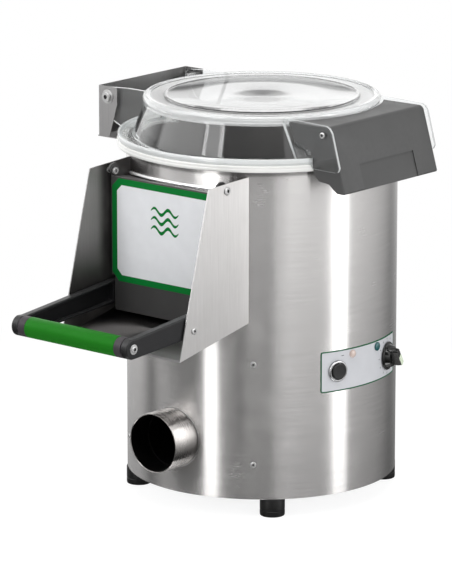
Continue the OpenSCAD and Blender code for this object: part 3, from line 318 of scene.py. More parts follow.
def startGroup(name, outputs, **inputs):
    # every effect has a Vector, its own inputs with their usual values, and masks as outputs
    group = bpy.data.node_groups.new(name, "ShaderNodeTree")
    group.interface.new_socket("Vector", in_out="INPUT", socket_type="NodeSocketVector")
    for label, value in inputs.items():
        kind = "NodeSocketVector" if isinstance(value, tuple) else "NodeSocketFloat"
        group.interface.new_socket(label, in_out="INPUT", socket_type=kind).default_value = value
    for label in outputs:
        group.interface.new_socket(label, in_out="OUTPUT", socket_type="NodeSocketFloat")
    return group, group.nodes.new("NodeGroupInput"), group.nodes.new("NodeGroupOutput")


def noiseIn(tree, vector, scale, detail=2.0, rough=0.5):
    node = addNode(tree, "ShaderNodeTexNoise", Detail=detail, Roughness=rough)
    tree.links.new(vector, node.inputs["Vector"])
    feed(tree, node.inputs["Scale"], scale)
    return node.outputs["Fac"]


def brushedLinesGroup():
    # fine scratches of a brushed sheet, which run along the axis where Stretch is smallest
    group, start, end = startGroup("brushedLines", ("Scratches", "Bands"), Stretch=(1, 1, 1), Lines=1.0)
    scaled = addNode(group, "ShaderNodeVectorMath", operation="MULTIPLY")
    group.links.new(start.outputs["Vector"], scaled.inputs[0])
    group.links.new(start.outputs["Stretch"], scaled.inputs[1])
    fine = noiseIn(group, scaled.outputs[0], start.outputs["Lines"], 3.0, 0.62)
    wide = noiseIn(group, scaled.outputs[0], mathNode(group, "MULTIPLY", start.outputs["Lines"], 0.4), 3.0)
    group.links.new(fine, end.inputs["Scratches"])
    group.links.new(wide, end.inputs["Bands"])
    return group


def mouldedGrainGroup():
    # spark-eroded grain of a moulding, with a broad mottle of colour
    group, start, end = startGroup("mouldedGrain", ("Pits", "Cloud"), Grain=1400.0, Mottle=22.0)
    cells = addNode(group, "ShaderNodeTexVoronoi", feature="SMOOTH_F1")
    group.links.new(start.outputs["Vector"], cells.inputs["Vector"])
    group.links.new(start.outputs["Grain"], cells.inputs["Scale"])
    fine = noiseIn(group, start.outputs["Vector"], start.outputs["Grain"])
    pits = mathNode(group, "MULTIPLY", cells.outputs["Distance"], fine)
    cloud = noiseIn(group, start.outputs["Vector"], start.outputs["Mottle"], 4.0, 0.6)
    group.links.new(pits, end.inputs["Pits"])
    group.links.new(cloud, end.inputs["Cloud"])
    return group


def handlingGroup():
    # faint wipe marks and finger smudges
    group, start, end = startGroup("handling", ("Smudge",), Size=9.0)
    broad = noiseIn(group, start.outputs["Vector"], start.outputs["Size"], 3.0)
    smaller = mathNode(group, "MULTIPLY", start.outputs["Size"], 3.1)
    wiped = noiseIn(group, start.outputs["Vector"], smaller)
    both = mathNode(group, "MULTIPLY", broad, wiped)
    group.links.new(rampNode(group, both, [(0.16, 0.0), (0.42, 1.0)], "EASE"), end.inputs["Smudge"])
    return group


def edgeWearGroup():
    # rubbed edges, from how sharply the surface bends
    group, start, end = startGroup("edgeWear", ("Wear",), Amount=1.0)
    geometry = group.nodes.new("ShaderNodeNewGeometry")
    sharp = rampNode(group, geometry.outputs["Pointiness"], [(0.51, 0.0), (0.60, 1.0)])
    patchy = noiseIn(group, start.outputs["Vector"], 160.0, 4.0, 0.7)
    rubbed = mathNode(group, "MULTIPLY", sharp, patchy)
    worn = mathNode(group, "MULTIPLY", rubbed, start.outputs["Amount"], clamp=True)
    group.links.new(worn, end.inputs["Wear"])
    return group


def settledDustGroup():
    # a trace of dust and dried water on faces that look up
    group, start, end = startGroup("settledDust", ("Dust",), Amount=0.3)
    geometry = group.nodes.new("ShaderNodeNewGeometry")
    upward = rampNode(group, splitAxes(group, geometry.outputs["Normal"])["Z"], [(0.35, 0.0), (0.95, 1.0)])
    patchy = noiseIn(group, start.outputs["Vector"], 45.0, 6.0, 0.7)
    settled = mathNode(group, "MULTIPLY", upward, patchy)
    dust = mathNode(group, "MULTIPLY", settled, start.outputs["Amount"], clamp=True)
    group.links.new(dust, end.inputs["Dust"])
    return group


effects = {
    "brush": brushedLinesGroup(),
    "grain": mouldedGrainGroup(),
    "handling": handlingGroup(),
    "wear": edgeWearGroup(),
    "dust": settledDustGroup(),
}
finishes = {}


def useEffect(tree, name, vector, **values):
    node = tree.nodes.new("ShaderNodeGroup")
    node.node_tree = effects[name]
    tree.links.new(vector, node.inputs["Vector"])
    for key, value in values.items():
        node.inputs[key].default_value = value
    return node


def startFinish(name):
    material = bpy.data.materials.new(name)
    material.use_nodes = True
    tree = material.node_tree
    shader = tree.nodes["Principled BSDF"]
    coords = tree.nodes.new("ShaderNodeTexCoord")
    finishes[name] = material
    return tree, shader, coords.outputs["Object"]


def spread(tree, source, low, high):
    # a 0..1 mask brought into the span from low to high
    node = tree.nodes.new("ShaderNodeMapRange")
    node.inputs["To Min"].default_value = low
    node.inputs["To Max"].default_value = high
    tree.links.new(source, node.inputs["Value"])
    return node.outputs[0]


def mixColor(tree, factor, first, second):
    node = tree.nodes.new("ShaderNodeMix")
    node.data_type = "RGBA"
    feed(tree, node.inputs["Factor"], factor)
    # inputs 6 and 7 and output 2 are the colours
    feed(tree, node.inputs[6], first)
    feed(tree, node.inputs[7], second)
    return node.outputs[2]


def bumpFrom(tree, shader, height, distance, strength):
    bump = addNode(tree, "ShaderNodeBump", Strength=strength, Distance=distance)
    tree.links.new(height, bump.inputs["Height"])
    tree.links.new(bump.outputs[0], shader.inputs["Normal"])


def roundCoords(tree, vector, radius, axis):
    # unrolls the surface round the axis, so that a pattern follows the bend
    axes = splitAxes(tree, vector)
    across = "Y" if axis == "Z" else "Z"
    around = mathNode(tree, "MULTIPLY", mathNode(tree, "ARCTAN2", axes[across], axes["X"]), radius)
    joined = tree.nodes.new("ShaderNodeCombineXYZ")
    tree.links.new(around, joined.inputs[0])
    tree.links.new(axes[axis], joined.inputs[2])
    return joined.outputs[0]


traces = {
    "dirt": (0.35, 0.34, 0.32),
    "dust": (0.52, 0.51, 0.49),
    "bareCast": (0.45, 0.45, 0.45),
}


def steelFinish(name, look):
    tree, shader, flat = startFinish(name)
    vector = flat
    if "round" in look:
        vector = roundCoords(tree, flat, look["round"], look.get("axis", "Z"))
    brush = useEffect(tree, "brush", vector, Stretch=look["stretch"], Lines=look["lines"])
    smudge = useEffect(tree, "handling", vector).outputs["Smudge"]
    dark = tuple(value * (1 - look["contrast"]) for value in look["color"])
    bright = tuple(min(1.0, value * (1 + look["contrast"])) for value in look["color"])
    fine = mathNode(tree, "MULTIPLY", brush.outputs["Scratches"], 0.4)
    grain = mathNode(tree, "MULTIPLY_ADD", brush.outputs["Bands"], 0.6, fine)
    lines = mixColor(tree, spread(tree, grain, -0.6, 1.6), dark, bright)
    if "shadeColor" in look:
        # painted shade: darker low down and close to the door, where the chute lies in shade, but not in the
        # front corner at +X
        axes = splitAxes(tree, flat)
        forward = mathNode(tree, "MULTIPLY", axes["Y"], -1.0)
        high = smoothStep(tree, axes["Z"], *look["litUp"])
        away = smoothStep(tree, forward, *look["litOut"])
        front = smoothStep(tree, forward, *look["litFront"])
        corner = mathNode(tree, "MULTIPLY", front, smoothStep(tree, axes["X"], *look["litSide"]))
        litMask = mathNode(tree, "MAXIMUM", mathNode(tree, "MULTIPLY", high, away), corner)
        lines = mixColor(tree, litMask, look["shadeColor"], lines)
    if "gasketShadow" in look:
        # painted shadow: darker close under the gasket, standing in for its contact shadow on the shell
        gasketShadow = smoothStep(tree, splitAxes(tree, flat)["Z"], *look["gasketShadow"])
        lines = mixColor(tree, gasketShadow, lines, look["gasketShadowColor"])
    base = look["roughness"]
    rough = spread(tree, brush.outputs["Bands"], base * 0.86, base * 1.14)
    feedAll(tree, shader, {
        "Base Color": mixColor(tree, spread(tree, smudge, 0.0, look["smudge"]), lines, traces["dirt"]),
        "Metallic": 1.0,
        "Roughness": mathNode(tree, "ADD", rough, spread(tree, smudge, 0.0, 0.05)),
        "Anisotropic": look.get("stretchGloss", 0.0),
        "Anisotropic Rotation": look.get("glossTurn", 0.0),
    })
    if "tangent" in look:
        tangent = tree.nodes.new("ShaderNodeTangent")
        tangent.direction_type = "RADIAL"
        tangent.axis = look["tangent"]
        tree.links.new(tangent.outputs[0], shader.inputs["Tangent"])
    bumpFrom(tree, shader, brush.outputs["Scratches"], look.get("bump", 0.00001), 0.35)


def plasticFinish(name, look):
    tree, shader, vector = startFinish(name)
    grain = useEffect(tree, "grain", vector, Grain=look["grain"])
    smudge = useEffect(tree, "handling", vector, Size=12.0).outputs["Smudge"]
    wear = useEffect(tree, "wear", vector, Amount=look.get("wear", 0.5)).outputs["Wear"]
    dust = useEffect(tree, "dust", vector, Amount=look.get("dust", 0.25)).outputs["Dust"]
    darker = tuple(value * 0.90 for value in look["color"])
    lighter = tuple(min(1.0, value * 1.10) for value in look["color"])
    body = mixColor(tree, grain.outputs["Cloud"], darker, lighter)
    worn = look.get("worn", tuple(min(1.0, value * 1.7 + 0.02) for value in look["color"]))
    rubbed = mixColor(tree, wear, body, worn)
    base = look["roughness"]
    wiped = spread(tree, smudge, base, base * 0.84)
    feedAll(tree, shader, {
        "Base Color": mixColor(tree, dust, rubbed, look.get("dustColor", traces["dust"])),
        "Roughness": mathNode(tree, "ADD", wiped, spread(tree, dust, 0.0, 0.25), clamp=True),
        "Specular IOR Level": look.get("specular", 0.5),
        "Coat Weight": look.get("coat", 0.0),
        "Coat Roughness": look.get("coatRoughness", 0.1),
    })
    bumpFrom(tree, shader, grain.outputs["Pits"], look.get("depth", 0.00004), look.get("bump", 0.4))


def castFinish(name, look):
    tree, shader, vector = startFinish(name)
    grain = useEffect(tree, "grain", vector, Grain=look["grain"], Mottle=30.0)
    wear = useEffect(tree, "wear", vector, Amount=0.9).outputs["Wear"]
    cloud = grain.outputs["Cloud"]
    body = mixColor(tree, cloud, tuple(value * 0.8 for value in look["color"]), look["color"])
    feedAll(tree, shader, {
        "Base Color": mixColor(tree, wear, body, traces["bareCast"]),
        "Roughness": spread(tree, cloud, look["roughness"], look["roughness"] * 0.8),
    })
    bumpFrom(tree, shader, grain.outputs["Pits"], 0.0002, 0.5)


def clearFinish(name, look):
    tree, shader, vector = startFinish(name)
    smudge = useEffect(tree, "handling", vector, Size=7.0).outputs["Smudge"]
    feedAll(tree, shader, {
        "Base Color": look["color"],
        "Transmission Weight": 1.0,
        "IOR": look["ior"],
        "Roughness": spread(tree, smudge, 0.0, 0.035),
    })
    ripple = noiseIn(tree, vector, look["ripple"])
    bumpFrom(tree, shader, ripple, look["rippleDepth"], 0.5)
    through = addNode(tree, "ShaderNodeBsdfTransparent", Color=(*look["shadow"], 1))
    path = tree.nodes.new("ShaderNodeLightPath")
    both = mixShaders(tree, path.outputs["Is Shadow Ray"], shader.outputs[0], through.outputs[0])
    tree.links.new(both, tree.nodes["Material Output"].inputs["Surface"])


def copyClear(name, transmission, color):
    copy = finishes["lid_clear"].copy()
    copy.name = name
    tree = copy.node_tree
    feedAll(tree, tree.nodes["Principled BSDF"], {"Transmission Weight": transmission, "Base Color": color})
    finishes[name] = copy


# values that several looks share
rolledEdge = {"stretch": (8, 8, 60), "lines": 20.0}
brushedSheet = {
    "roughness": 0.36, "contrast": 0.09, "stretch": (60, 60, 1.5), "lines": 24.0, "stretchGloss": 0.85,
    "tangent": "Z", "smudge": 0.08}
turnedScrew = {"contrast": 0.12, "stretch": (60, 60, 60), "lines": 18.0, "smudge": 0.1}
printed = {"bump": 0.12, "wear": 0.0, "dust": 0.0}
lens = {"grain": 1500.0, "bump": 0.1, "wear": 0.1, "dust": 0.0, "coat": 0.4}

steelLooks = {
    "shell_steel": {
        "color": (0.572, 0.560, 0.553), "roughness": 0.22, "contrast": 0.05, "round": 0.19,
        "stretch": (1.2, 1, 60), "lines": 24.0, "stretchGloss": 1.0, "glossTurn": 0.25, "tangent": "Z",
        # the last two values paint a dark band under the gasket, a painted shadow
        "bump": 0.0000008, "smudge": 0.03, "gasketShadow": (0.4795, 0.4840), "gasketShadowColor": (0.25, 0.245, 0.24)},
    # painted shade: the drum's steel is much darker than the shell's, so that the inside of the drum reads
    # dark
    "drum_steel": {
        "color": (0.22, 0.208, 0.203), "roughness": 0.30, "contrast": 0.06, "round": 0.178,
        "stretch": (1.2, 1, 60), "lines": 26.0, "stretchGloss": 0.9, "glossTurn": 0.25, "tangent": "Z",
        "bump": 0.000008, "smudge": 0.10},
    "rim_steel": {
        **rolledEdge, "color": (0.60, 0.60, 0.605), "roughness": 0.26, "contrast": 0.05, "smudge": 0.08},
    # painted highlight: a lighter copy of the rolled steel, so that the lip above the door reads bright
    "lip_steel": {
        **rolledEdge, "color": (0.86, 0.86, 0.86), "roughness": 0.55, "contrast": 0.04, "smudge": 0.04},
    "sheet_steel": {**brushedSheet, "color": (0.56, 0.55, 0.545)},
    "dim_steel": {**brushedSheet, "color": (0.33, 0.325, 0.325)},
    # painted shade: a darker copy of the sheet steel for faces that look inwards, near black low down and
    # near the door
    "inner_steel": {
        **brushedSheet, "color": (0.36, 0.35, 0.345), "roughness": 0.50, "contrast": 0.10, "smudge": 0.2,
        "shadeColor": (0.09, 0.086, 0.085), "litUp": (0.30, 0.40), "litOut": (0.208, 0.228),
        "litFront": (0.255, 0.295), "litSide": (0.02, 0.07)},
    "spout_steel": {
        "color": (0.36, 0.345, 0.335), "roughness": 0.26, "contrast": 0.06, "round": 0.042, "axis": "Y",
        "stretch": (3, 1, 60), "lines": 20.0, "stretchGloss": 0.95, "glossTurn": 0.25, "tangent": "Y",
        "smudge": 0.06, "bump": 0.000003},
    # painted shade: near-black steel for the inside of the spout and the elbow, where shade falls
    "shade_black_steel": {
        "color": (0.012, 0.011, 0.011), "roughness": 0.5, "contrast": 0.1, "round": 0.042, "axis": "Y",
        "stretch": (3, 1, 60), "lines": 20.0, "smudge": 0.01},
    # painted shade: near-black steel inside the screw sockets
    "socket_steel": {**turnedScrew, "color": (0.06, 0.06, 0.06), "roughness": 0.5},
    "zinc_plate": {
        "color": (0.50, 0.51, 0.53), "roughness": 0.42, "contrast": 0.14,
        "stretch": (14, 14, 14), "lines": 5.0, "smudge": 0.2},
    "bolt_steel": {**turnedScrew, "color": (0.42, 0.42, 0.42), "roughness": 0.46},
    "bearing_steel": {
        "color": (0.62, 0.63, 0.64), "roughness": 0.20, "contrast": 0.06,
        "stretch": (10, 10, 80), "lines": 20.0, "smudge": 0.1},
    "pipe_steel": {
        "color": (0.60, 0.60, 0.60), "roughness": 0.24, "contrast": 0.08,
        "stretch": (60, 2, 60), "lines": 18.0, "smudge": 0.1},
    "bezel_steel": {
        "color": (0.38, 0.38, 0.385), "roughness": 0.20, "contrast": 0.03,
        "stretch": (40, 40, 40), "lines": 18.0, "smudge": 0.05},
    "pulley_aluminium": {
        "color": (0.62, 0.63, 0.64), "roughness": 0.32, "contrast": 0.10,
        "stretch": (20, 20, 90), "lines": 18.0, "smudge": 0.15},
}

plasticLooks = {
    "gasket_white": {"color": (0.84, 0.84, 0.82), "roughness": 0.36, "grain": 900.0, "bump": 0.15,
                     "wear": 0.1, "dust": 0.06, "dustColor": (0.70, 0.69, 0.66)},
    "drain_plastic": {"color": (0.045, 0.045, 0.047), "roughness": 0.5, "grain": 900.0},
    "foot_rubber": {"color": (0.006, 0.006, 0.006), "roughness": 0.42, "grain": 1300.0, "dust": 0.05,
                    "specular": 0.22},
    "seal_rubber": {"color": (0.015, 0.015, 0.015), "roughness": 0.55, "grain": 1100.0, "dust": 0.08},
    "belt_rubber": {"color": (0.02, 0.02, 0.02), "roughness": 0.7, "grain": 800.0, "bump": 0.7, "dust": 0.3},
    "motor_paint": {"color": (0.07, 0.10, 0.15), "roughness": 0.45, "grain": 700.0, "dust": 0.35,
                    "wear": 0.8},
    "box_plastic": {"color": (0.02, 0.02, 0.022), "roughness": 0.5, "grain": 1200.0},
    "pad_nylon": {"color": (0.72, 0.72, 0.68), "roughness": 0.45, "grain": 900.0},
    "panel_print": {**printed, "color": (0.60, 0.61, 0.64), "roughness": 0.42, "grain": 2200.0,
                    "specular": 0.3},
    "panel_outline": {**printed, "color": (0.002, 0.085, 0.032), "roughness": 0.45, "grain": 2200.0,
                      "specular": 0.12},
    "lamp_white": {**lens, "color": (0.62, 0.50, 0.45), "roughness": 0.22, "coatRoughness": 0.08},
    "lamp_green": {**lens, "color": (0.006, 0.085, 0.09), "roughness": 0.2, "coatRoughness": 0.06},
    "timer_plastic": {"color": (0.60, 0.57, 0.48), "roughness": 0.5, "grain": 900.0},
    "valve_plastic": {"color": (0.022, 0.022, 0.024), "roughness": 0.48, "grain": 1000.0},
    "door_plastic": {"color": (0.036, 0.035, 0.035), "roughness": 0.48, "grain": 1500.0, "bump": 0.5,
                     "dust": 0.08, "specular": 0.35},
    "label_green": {**printed, "color": (0.003, 0.165, 0.028), "roughness": 0.50, "grain": 2400.0,
                    "specular": 0.08},
    "label_white": {**printed, "color": (0.79, 0.80, 0.825), "roughness": 0.40, "grain": 2400.0,
                    "specular": 0.3},
    "arm_plastic": {"color": (0.010, 0.010, 0.011), "roughness": 0.36, "grain": 1500.0, "bump": 0.4,
                    "dust": 0.04, "wear": 0.3, "specular": 0.25},
    "grip_green": {"color": (0.009, 0.150, 0.007), "roughness": 0.45, "grain": 1700.0, "bump": 0.35,
                   "dust": 0.0, "wear": 0.1, "worn": (0.02, 0.24, 0.012), "specular": 0.08},
    "grip_grey": {"color": (0.042, 0.037, 0.042), "roughness": 0.45, "grain": 1500.0, "bump": 0.4,
                  "dust": 0.03, "wear": 0.2, "specular": 0.15},
    "cover_plastic": {"color": (0.056, 0.056, 0.056), "roughness": 0.50, "grain": 1600.0, "bump": 0.5,
                      "dust": 0.04, "wear": 0.3, "specular": 0.3},
    "magnet_grey": {"color": (0.05, 0.05, 0.052), "roughness": 0.5, "grain": 800.0},
    "button_black": {"color": (0.012, 0.012, 0.012), "roughness": 0.5, "grain": 1500.0, "bump": 0.9,
                     "depth": 0.0001, "dust": 0.05, "specular": 0.3},
    "knob_black": {"color": (0.004, 0.004, 0.004), "roughness": 0.12, "grain": 1900.0, "bump": 0.05,
                   "coat": 0.3, "coatRoughness": 0.05, "dust": 0.0, "wear": 0.0, "specular": 0.3},
    "pointer_pale": {"color": (0.72, 0.85, 0.60), "roughness": 0.3, "grain": 1800.0, "bump": 0.1,
                     "dust": 0.0},
    "dial_ink": {"color": (0.03, 0.05, 0.045), "roughness": 0.5, "grain": 1800.0, "bump": 0.1, "dust": 0.0},
}

for name, look in steelLooks.items():
    steelFinish(name, look)
for name, look in plasticLooks.items():
    plasticFinish(name, look)
castFinish("cast_housing", {"color": (0.075, 0.085, 0.095), "roughness": 0.6, "grain": 500.0})
clearFinish("lid_clear", {
    "color": (0.985, 0.995, 0.995), "ior": 1.47, "ripple": 14.0, "rippleDepth": 0.00012,
    "shadow": (0.93, 0.94, 0.94)})

for part in frame["record"]["subparts"]:
    node = nodes[part["node"]]
    node.data.materials.clear()
    node.data.materials.append(finishes[part["material_slot"]])

# painted shade: the deck of the lid is tinted greyer, standing in for the grey it reflects
clearFinish("greyed_deck_clear", {
    "color": (0.62, 0.62, 0.62), "ior": 1.47, "ripple": 14.0, "rippleDepth": 0.00006,
    "shadow": (0.93, 0.94, 0.94)})

# cut edges of the clear sheet scatter more light than its faces, and their whiter tone is partly a painted
# highlight; the bent bead is whitened as a painted highlight
copyClear("clear_edge", 0.38, (0.90, 0.92, 0.92))
copyClear("whitened_bead_clear", 0.72, (0.96, 0.97, 0.97))
print("finishes ready:", len(finishes))


# mesh helpers, in millimetres

shellRadius = 190.0  # outside of the body shell, which panel, screws and marks follow
shellRoom = 190.05  # pieces that end at the shell are cut a hair outside it


def ringPoints(radius, height, steps, sides=0):
    # a circle, or a polygon with that many sides
    points = []
    for i in range(steps):
        angle = 2 * math.pi * i / steps
        reach = radius
        if sides:
            half = math.pi / sides
            reach = radius * math.cos(half) / math.cos(angle % (2 * half) - half)
        points.append((reach * math.cos(angle), reach * math.sin(angle), height))
    return points


def addRings(bm, rings, spot=None, closed=False, darkFrom=None):
    # faces between rings from darkFrom on get the second material
    spot = spot or Matrix()
    loops = [[bm.verts.new((spot @ Vector(point)) * mm) for point in ring] for ring in rings]
    pairs = list(zip(loops, loops[1:]))
    if closed:
        pairs.append((loops[-1], loops[0]))
    for k, (low, high) in enumerate(pairs):
        for i in range(len(low)):
            j = (i + 1) % len(low)
            face = bm.faces.new((low[i], low[j], high[j], high[i]))
            face.material_index = int(darkFrom is not None and k >= darkFrom)
    if not closed:
        bm.faces.new(list(reversed(loops[0])))
        bm.faces.new(loops[-1]).material_index = int(darkFrom is not None)


def addLathe(bm, profile, steps, spot=None, closed=True):
    addRings(bm, [ringPoints(r, z, steps) for r, z in profile], spot, closed)


def addPrism(bm, outline, low, high, axis, spot=None):
    order = {"x": lambda a, b, t: (t, a, b), "y": lambda a, b, t: (a, t, b), "z": lambda a, b, t: (a, b, t)}
    addRings(bm, [[order[axis](a, b, t) for a, b in outline] for t in (low, high)], spot)


def bothSides(inner, outer):
    # the span from inner to outer on the plus side, then on the minus side
    return (inner, outer), (-outer, -inner)


def boxOutline(x0, x1, y0, y1):
    return [(x0, y0), (x1, y0), (x1, y1), (x0, y1)]


def roundCorners(outline, radius, steps=6):
    # one radius for all corners, or a list with a radius for each
    radii = radius if isinstance(radius, (list, tuple)) else [radius] * len(outline)
    rounded = []
    for i, corner in enumerate(outline):
        here = Vector(corner)
        before = Vector(outline[i - 1]) - here
        after = Vector(outline[(i + 1) % len(outline)]) - here
        angle = before.angle(after)
        if radii[i] <= 0 or angle > math.radians(176):
            rounded.append(corner)
            continue
        reach = min(radii[i] / math.tan(angle / 2), before.length * 0.49, after.length * 0.49)
        middle = here + (before.normalized() + after.normalized()).normalized() * reach / math.cos(angle / 2)
        first = here + before.normalized() * reach - middle
        last = here + after.normalized() * reach - middle
        start = math.atan2(first.y, first.x)
        turn = (math.atan2(last.y, last.x) - start + math.pi) % (2 * math.pi) - math.pi
        for k in range(steps + 1):
            a = start + turn * k / steps
            rounded.append((middle.x + first.length * math.cos(a), middle.y + first.length * math.sin(a)))
    return rounded


def arcPoints(x, y, radius, start, end, steps):
    angles = [math.radians(start + (end - start) * k / steps) for k in range(steps + 1)]
    return [(x + radius * math.cos(a), y + radius * math.sin(a)) for a in angles]


def onShell(angle, height):
    # a spot on the shell, its local Z outwards: the angle counts from -Y towards +X
    return (Matrix.Rotation(math.radians(angle), 4, "Z") @ Matrix.Translation((0, -shellRadius, height))
            @ Matrix.Rotation(math.radians(90), 4, "X"))


def facing(x, y, z, direction):
    # local Z points along a direction from a point
    turn = Vector(direction).to_track_quat("Z", "Y").to_matrix().to_4x4()
    return Matrix.Translation((x, y, z)) @ turn


def meshPiece(name, bm):
    bmesh.ops.remove_doubles(bm, verts=bm.verts, dist=1e-7)
    bmesh.ops.recalc_face_normals(bm, faces=bm.faces)
    mesh = bpy.data.meshes.new(name)
    bm.to_mesh(mesh)
    bm.free()
    piece = bpy.data.objects.new(name, mesh)
    bpy.context.scene.collection.objects.link(piece)
    return piece


def bakeModifiers(piece):
    graph = bpy.context.evaluated_depsgraph_get()
    mesh = bpy.data.meshes.new_from_object(piece.evaluated_get(graph))
    piece.modifiers.clear()
    old = piece.data
    piece.data = mesh
    bpy.data.meshes.remove(old)


def combine(piece, bm, operation):
    cutter = meshPiece("cutter", bm)
    boolean = piece.modifiers.new("combine", "BOOLEAN")
    boolean.object = cutter
    boolean.operation = operation
    boolean.solver = "EXACT"
    bakeModifiers(piece)
    bpy.data.objects.remove(cutter)


def combinePrism(piece, operation, outline, low, high, axis):
    other = bmesh.new()
    addPrism(other, outline, low, high, axis)
    combine(piece, other, operation)


def cutRings(piece, rings, spot=None):
    cutter = bmesh.new()
    addRings(cutter, rings, spot)
    combine(piece, cutter, "DIFFERENCE")


def cutHole(piece, radius, low, high, spot=None, steps=32):
    # a round hole along the local Z of the spot
    cutRings(piece, [ringPoints(radius, low, steps), ringPoints(radius, high, steps)], spot)


def cutAcross(piece, radius, spot, half=130):
    # a hole through both sides of a piece that has the spot in its middle
    cutHole(piece, radius, -half, half, spot)


def roundEdges(piece, width, segments, angle, bake=False):
    for face in piece.data.polygons:
        face.use_smooth = True
    bevel = piece.modifiers.new("roundEdges", "BEVEL")
    bevel.width = width * mm
    bevel.segments = segments
    bevel.limit_method = "ANGLE"
    bevel.angle_limit = math.radians(angle)
    if bake:
        bakeModifiers(piece)
    else:
        even = piece.modifiers.new("evenNormals", "WEIGHTED_NORMAL")
        even.keep_sharp = True


def smoothPiece(piece, angle):
    piece.data.shade_smooth()
    piece.data.set_sharp_from_angle(angle=math.radians(angle))


def place(piece, finish, slot, body, *replaced):
    for name in finish:
        piece.data.materials.append(finishes[name])
    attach(piece, body)
    if replaced:
        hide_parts(*replaced)


def finishPiece(name, bm, angle, finish, slot, body, *replaced):
    # for pieces that need no more than smooth shading up to the angle
    piece = meshPiece(name, bm)
    smoothPiece(piece, angle)
    place(piece, finish, slot, body, *replaced)


# the second finish darkens the sockets, a painted shade
boltFinish = ("bolt_steel", "socket_steel")


def radialNormals(piece):
    # the wall stays perfectly round in its reflections, whatever was cut through it
    mesh = piece.data
    for face in mesh.polygons:
        face.use_smooth = True
    normals = []
    for face in mesh.polygons:
        for corner in face.loop_indices:
            point = mesh.vertices[mesh.loops[corner].vertex_index].co
            out = Vector((point.x, point.y, 0)).normalized()
            facingOut = face.normal.dot(out)
            if abs(facingOut) > 0.9:  # the wall itself, not a cut edge
                normals.append(out if facingOut > 0 else -out)
            else:
                normals.append(face.normal.copy())
    mesh.normals_split_custom_set(normals)


# shares of the head's radius and height, then of the hexagon socket's radius and the head's height
buttonHead = (
    ((0.97, 0), (1, 0.12), (1, 0.42), (0.93, 0.74), (0.80, 0.93), (0.66, 1)),
    ((1.18, 1), (1, 0.93), (1, 0.30)), (0.3, 0.22))
capHead = (((0.97, 0), (1, 0.05), (1, 0.86), (0.94, 1)), ((1.15, 1), (1, 0.94), (1, 0.35)), (0.3, 0.28))


def addScrewHead(bm, spec, spot, shape=buttonHead):
    # a head with a hexagon socket, standing on the spot
    r, h, s = spec["head"], spec["height"], spec["socket"]
    outside, socket, floor = shape
    rings = [ringPoints(r * wide, h * up, 36) for wide, up in outside]
    rings += [ringPoints(s * wide, h * up, 36, 6) for wide, up in socket]
    rings.append(ringPoints(s * floor[0], h * floor[1], 36))
    # the socket faces get the second finish, a painted shade
    addRings(bm, rings, spot, darkFrom=len(outside))


def addWasher(bm, outer, inner, thick, spot):
    c = min(0.25, thick * 0.3)
    profile = [(inner, 0), (outer - c, 0), (outer, c), (outer, thick - c), (outer - c, thick), (inner, thick)]
    addLathe(bm, profile, 40, spot)


def addScrew(bm, spec, spot):
    addScrewHead(bm, spec, spot)
    addShank(bm, spec["shank"], -spec["reach"], 0.1, spot)


def addShank(bm, radius, start, end, spot):
    addRings(bm, [ringPoints(radius * 0.85, start, 24), ringPoints(radius, start + radius * 0.2, 24),
                  ringPoints(radius, end, 24)], spot)


print("mesh helpers ready")


# body shell, drum and rim

shell = {
    "radius": shellRadius, "thick": 1.2, "foot": 26.0, "top": 490.5, "steps": 288, "edge": 0.3,
    "windowHalf": 85.3, "windowLow": 282.9, "windowHigh": 453.3, "windowY": (-210, -100),
    "drainZ": 103.0, "drainHole": 41.1,
}


def cutWindow(piece, v):
    outline = boxOutline(-v["windowHalf"], v["windowHalf"], *v["windowY"])
    combinePrism(piece, "DIFFERENCE", outline, v["windowLow"], v["windowHigh"], "z")


def makeShell(v):
    r, inner, foot, edge = v["radius"], v["radius"] - v["thick"], v["foot"], v["edge"]
    profile = [(r, foot + edge), (r, v["top"]), (inner, v["top"]), (inner, foot + edge), (inner + edge, foot),
               (r - edge, foot)]
    bm = bmesh.new()
    addLathe(bm, profile, v["steps"])
    piece = meshPiece("bodyShell", bm)
    cutWindow(piece, v)
    cutHole(piece, v["drainHole"], 90, 220, facing(0, 0, v["drainZ"], (0, -1, 0)), 96)
    radialNormals(piece)
    place(piece, ("shell_steel",), "shell_steel", "body", "outer_shell")


lip = {
    "half": 106.1, "inner": 189.9, "outer": 192.6, "z": 464.3, "height": 3.6, "fall": 0.163, "doorY": -206.0,
    "count": 72,
}


def makeLip(v):
    # folded edge of the shell above the door
    reach, top, count = v["outer"] - v["inner"], v["height"], v["count"]
    outline = [(0, 0), (reach - 1.2, 0), (reach - 0.5, 0.3), (reach - 0.1, 0.8), (reach, top * 0.4),
               (reach - 0.2, top * 0.65), (reach - 0.9, top * 0.88), (reach - 1.8, top), (0, top)]
    limit = math.degrees(math.asin(v["half"] / v["outer"]))
    rings = []
    for i in range(count + 1):
        a = math.radians(-limit + 2 * limit * i / count)
        section = []
        for out, up in outline:
            r = v["inner"] + out
            y = -r * math.cos(a)
            z = v["z"] - v["fall"] * (y - v["doorY"]) + up
            section.append((r * math.sin(a), y, z))
        rings.append(section)
    bm = bmesh.new()
    addRings(bm, rings)
    # the lip gets the lighter steel, a painted highlight
    finishPiece("shellLip", bm, 50, ("lip_steel",), "shell_steel", "body")


drum = {"outer": 178.0, "inner": 177.0, "low": 236.2, "top": 490.5, "inletZ": 445.5, "inletHole": 8.1}


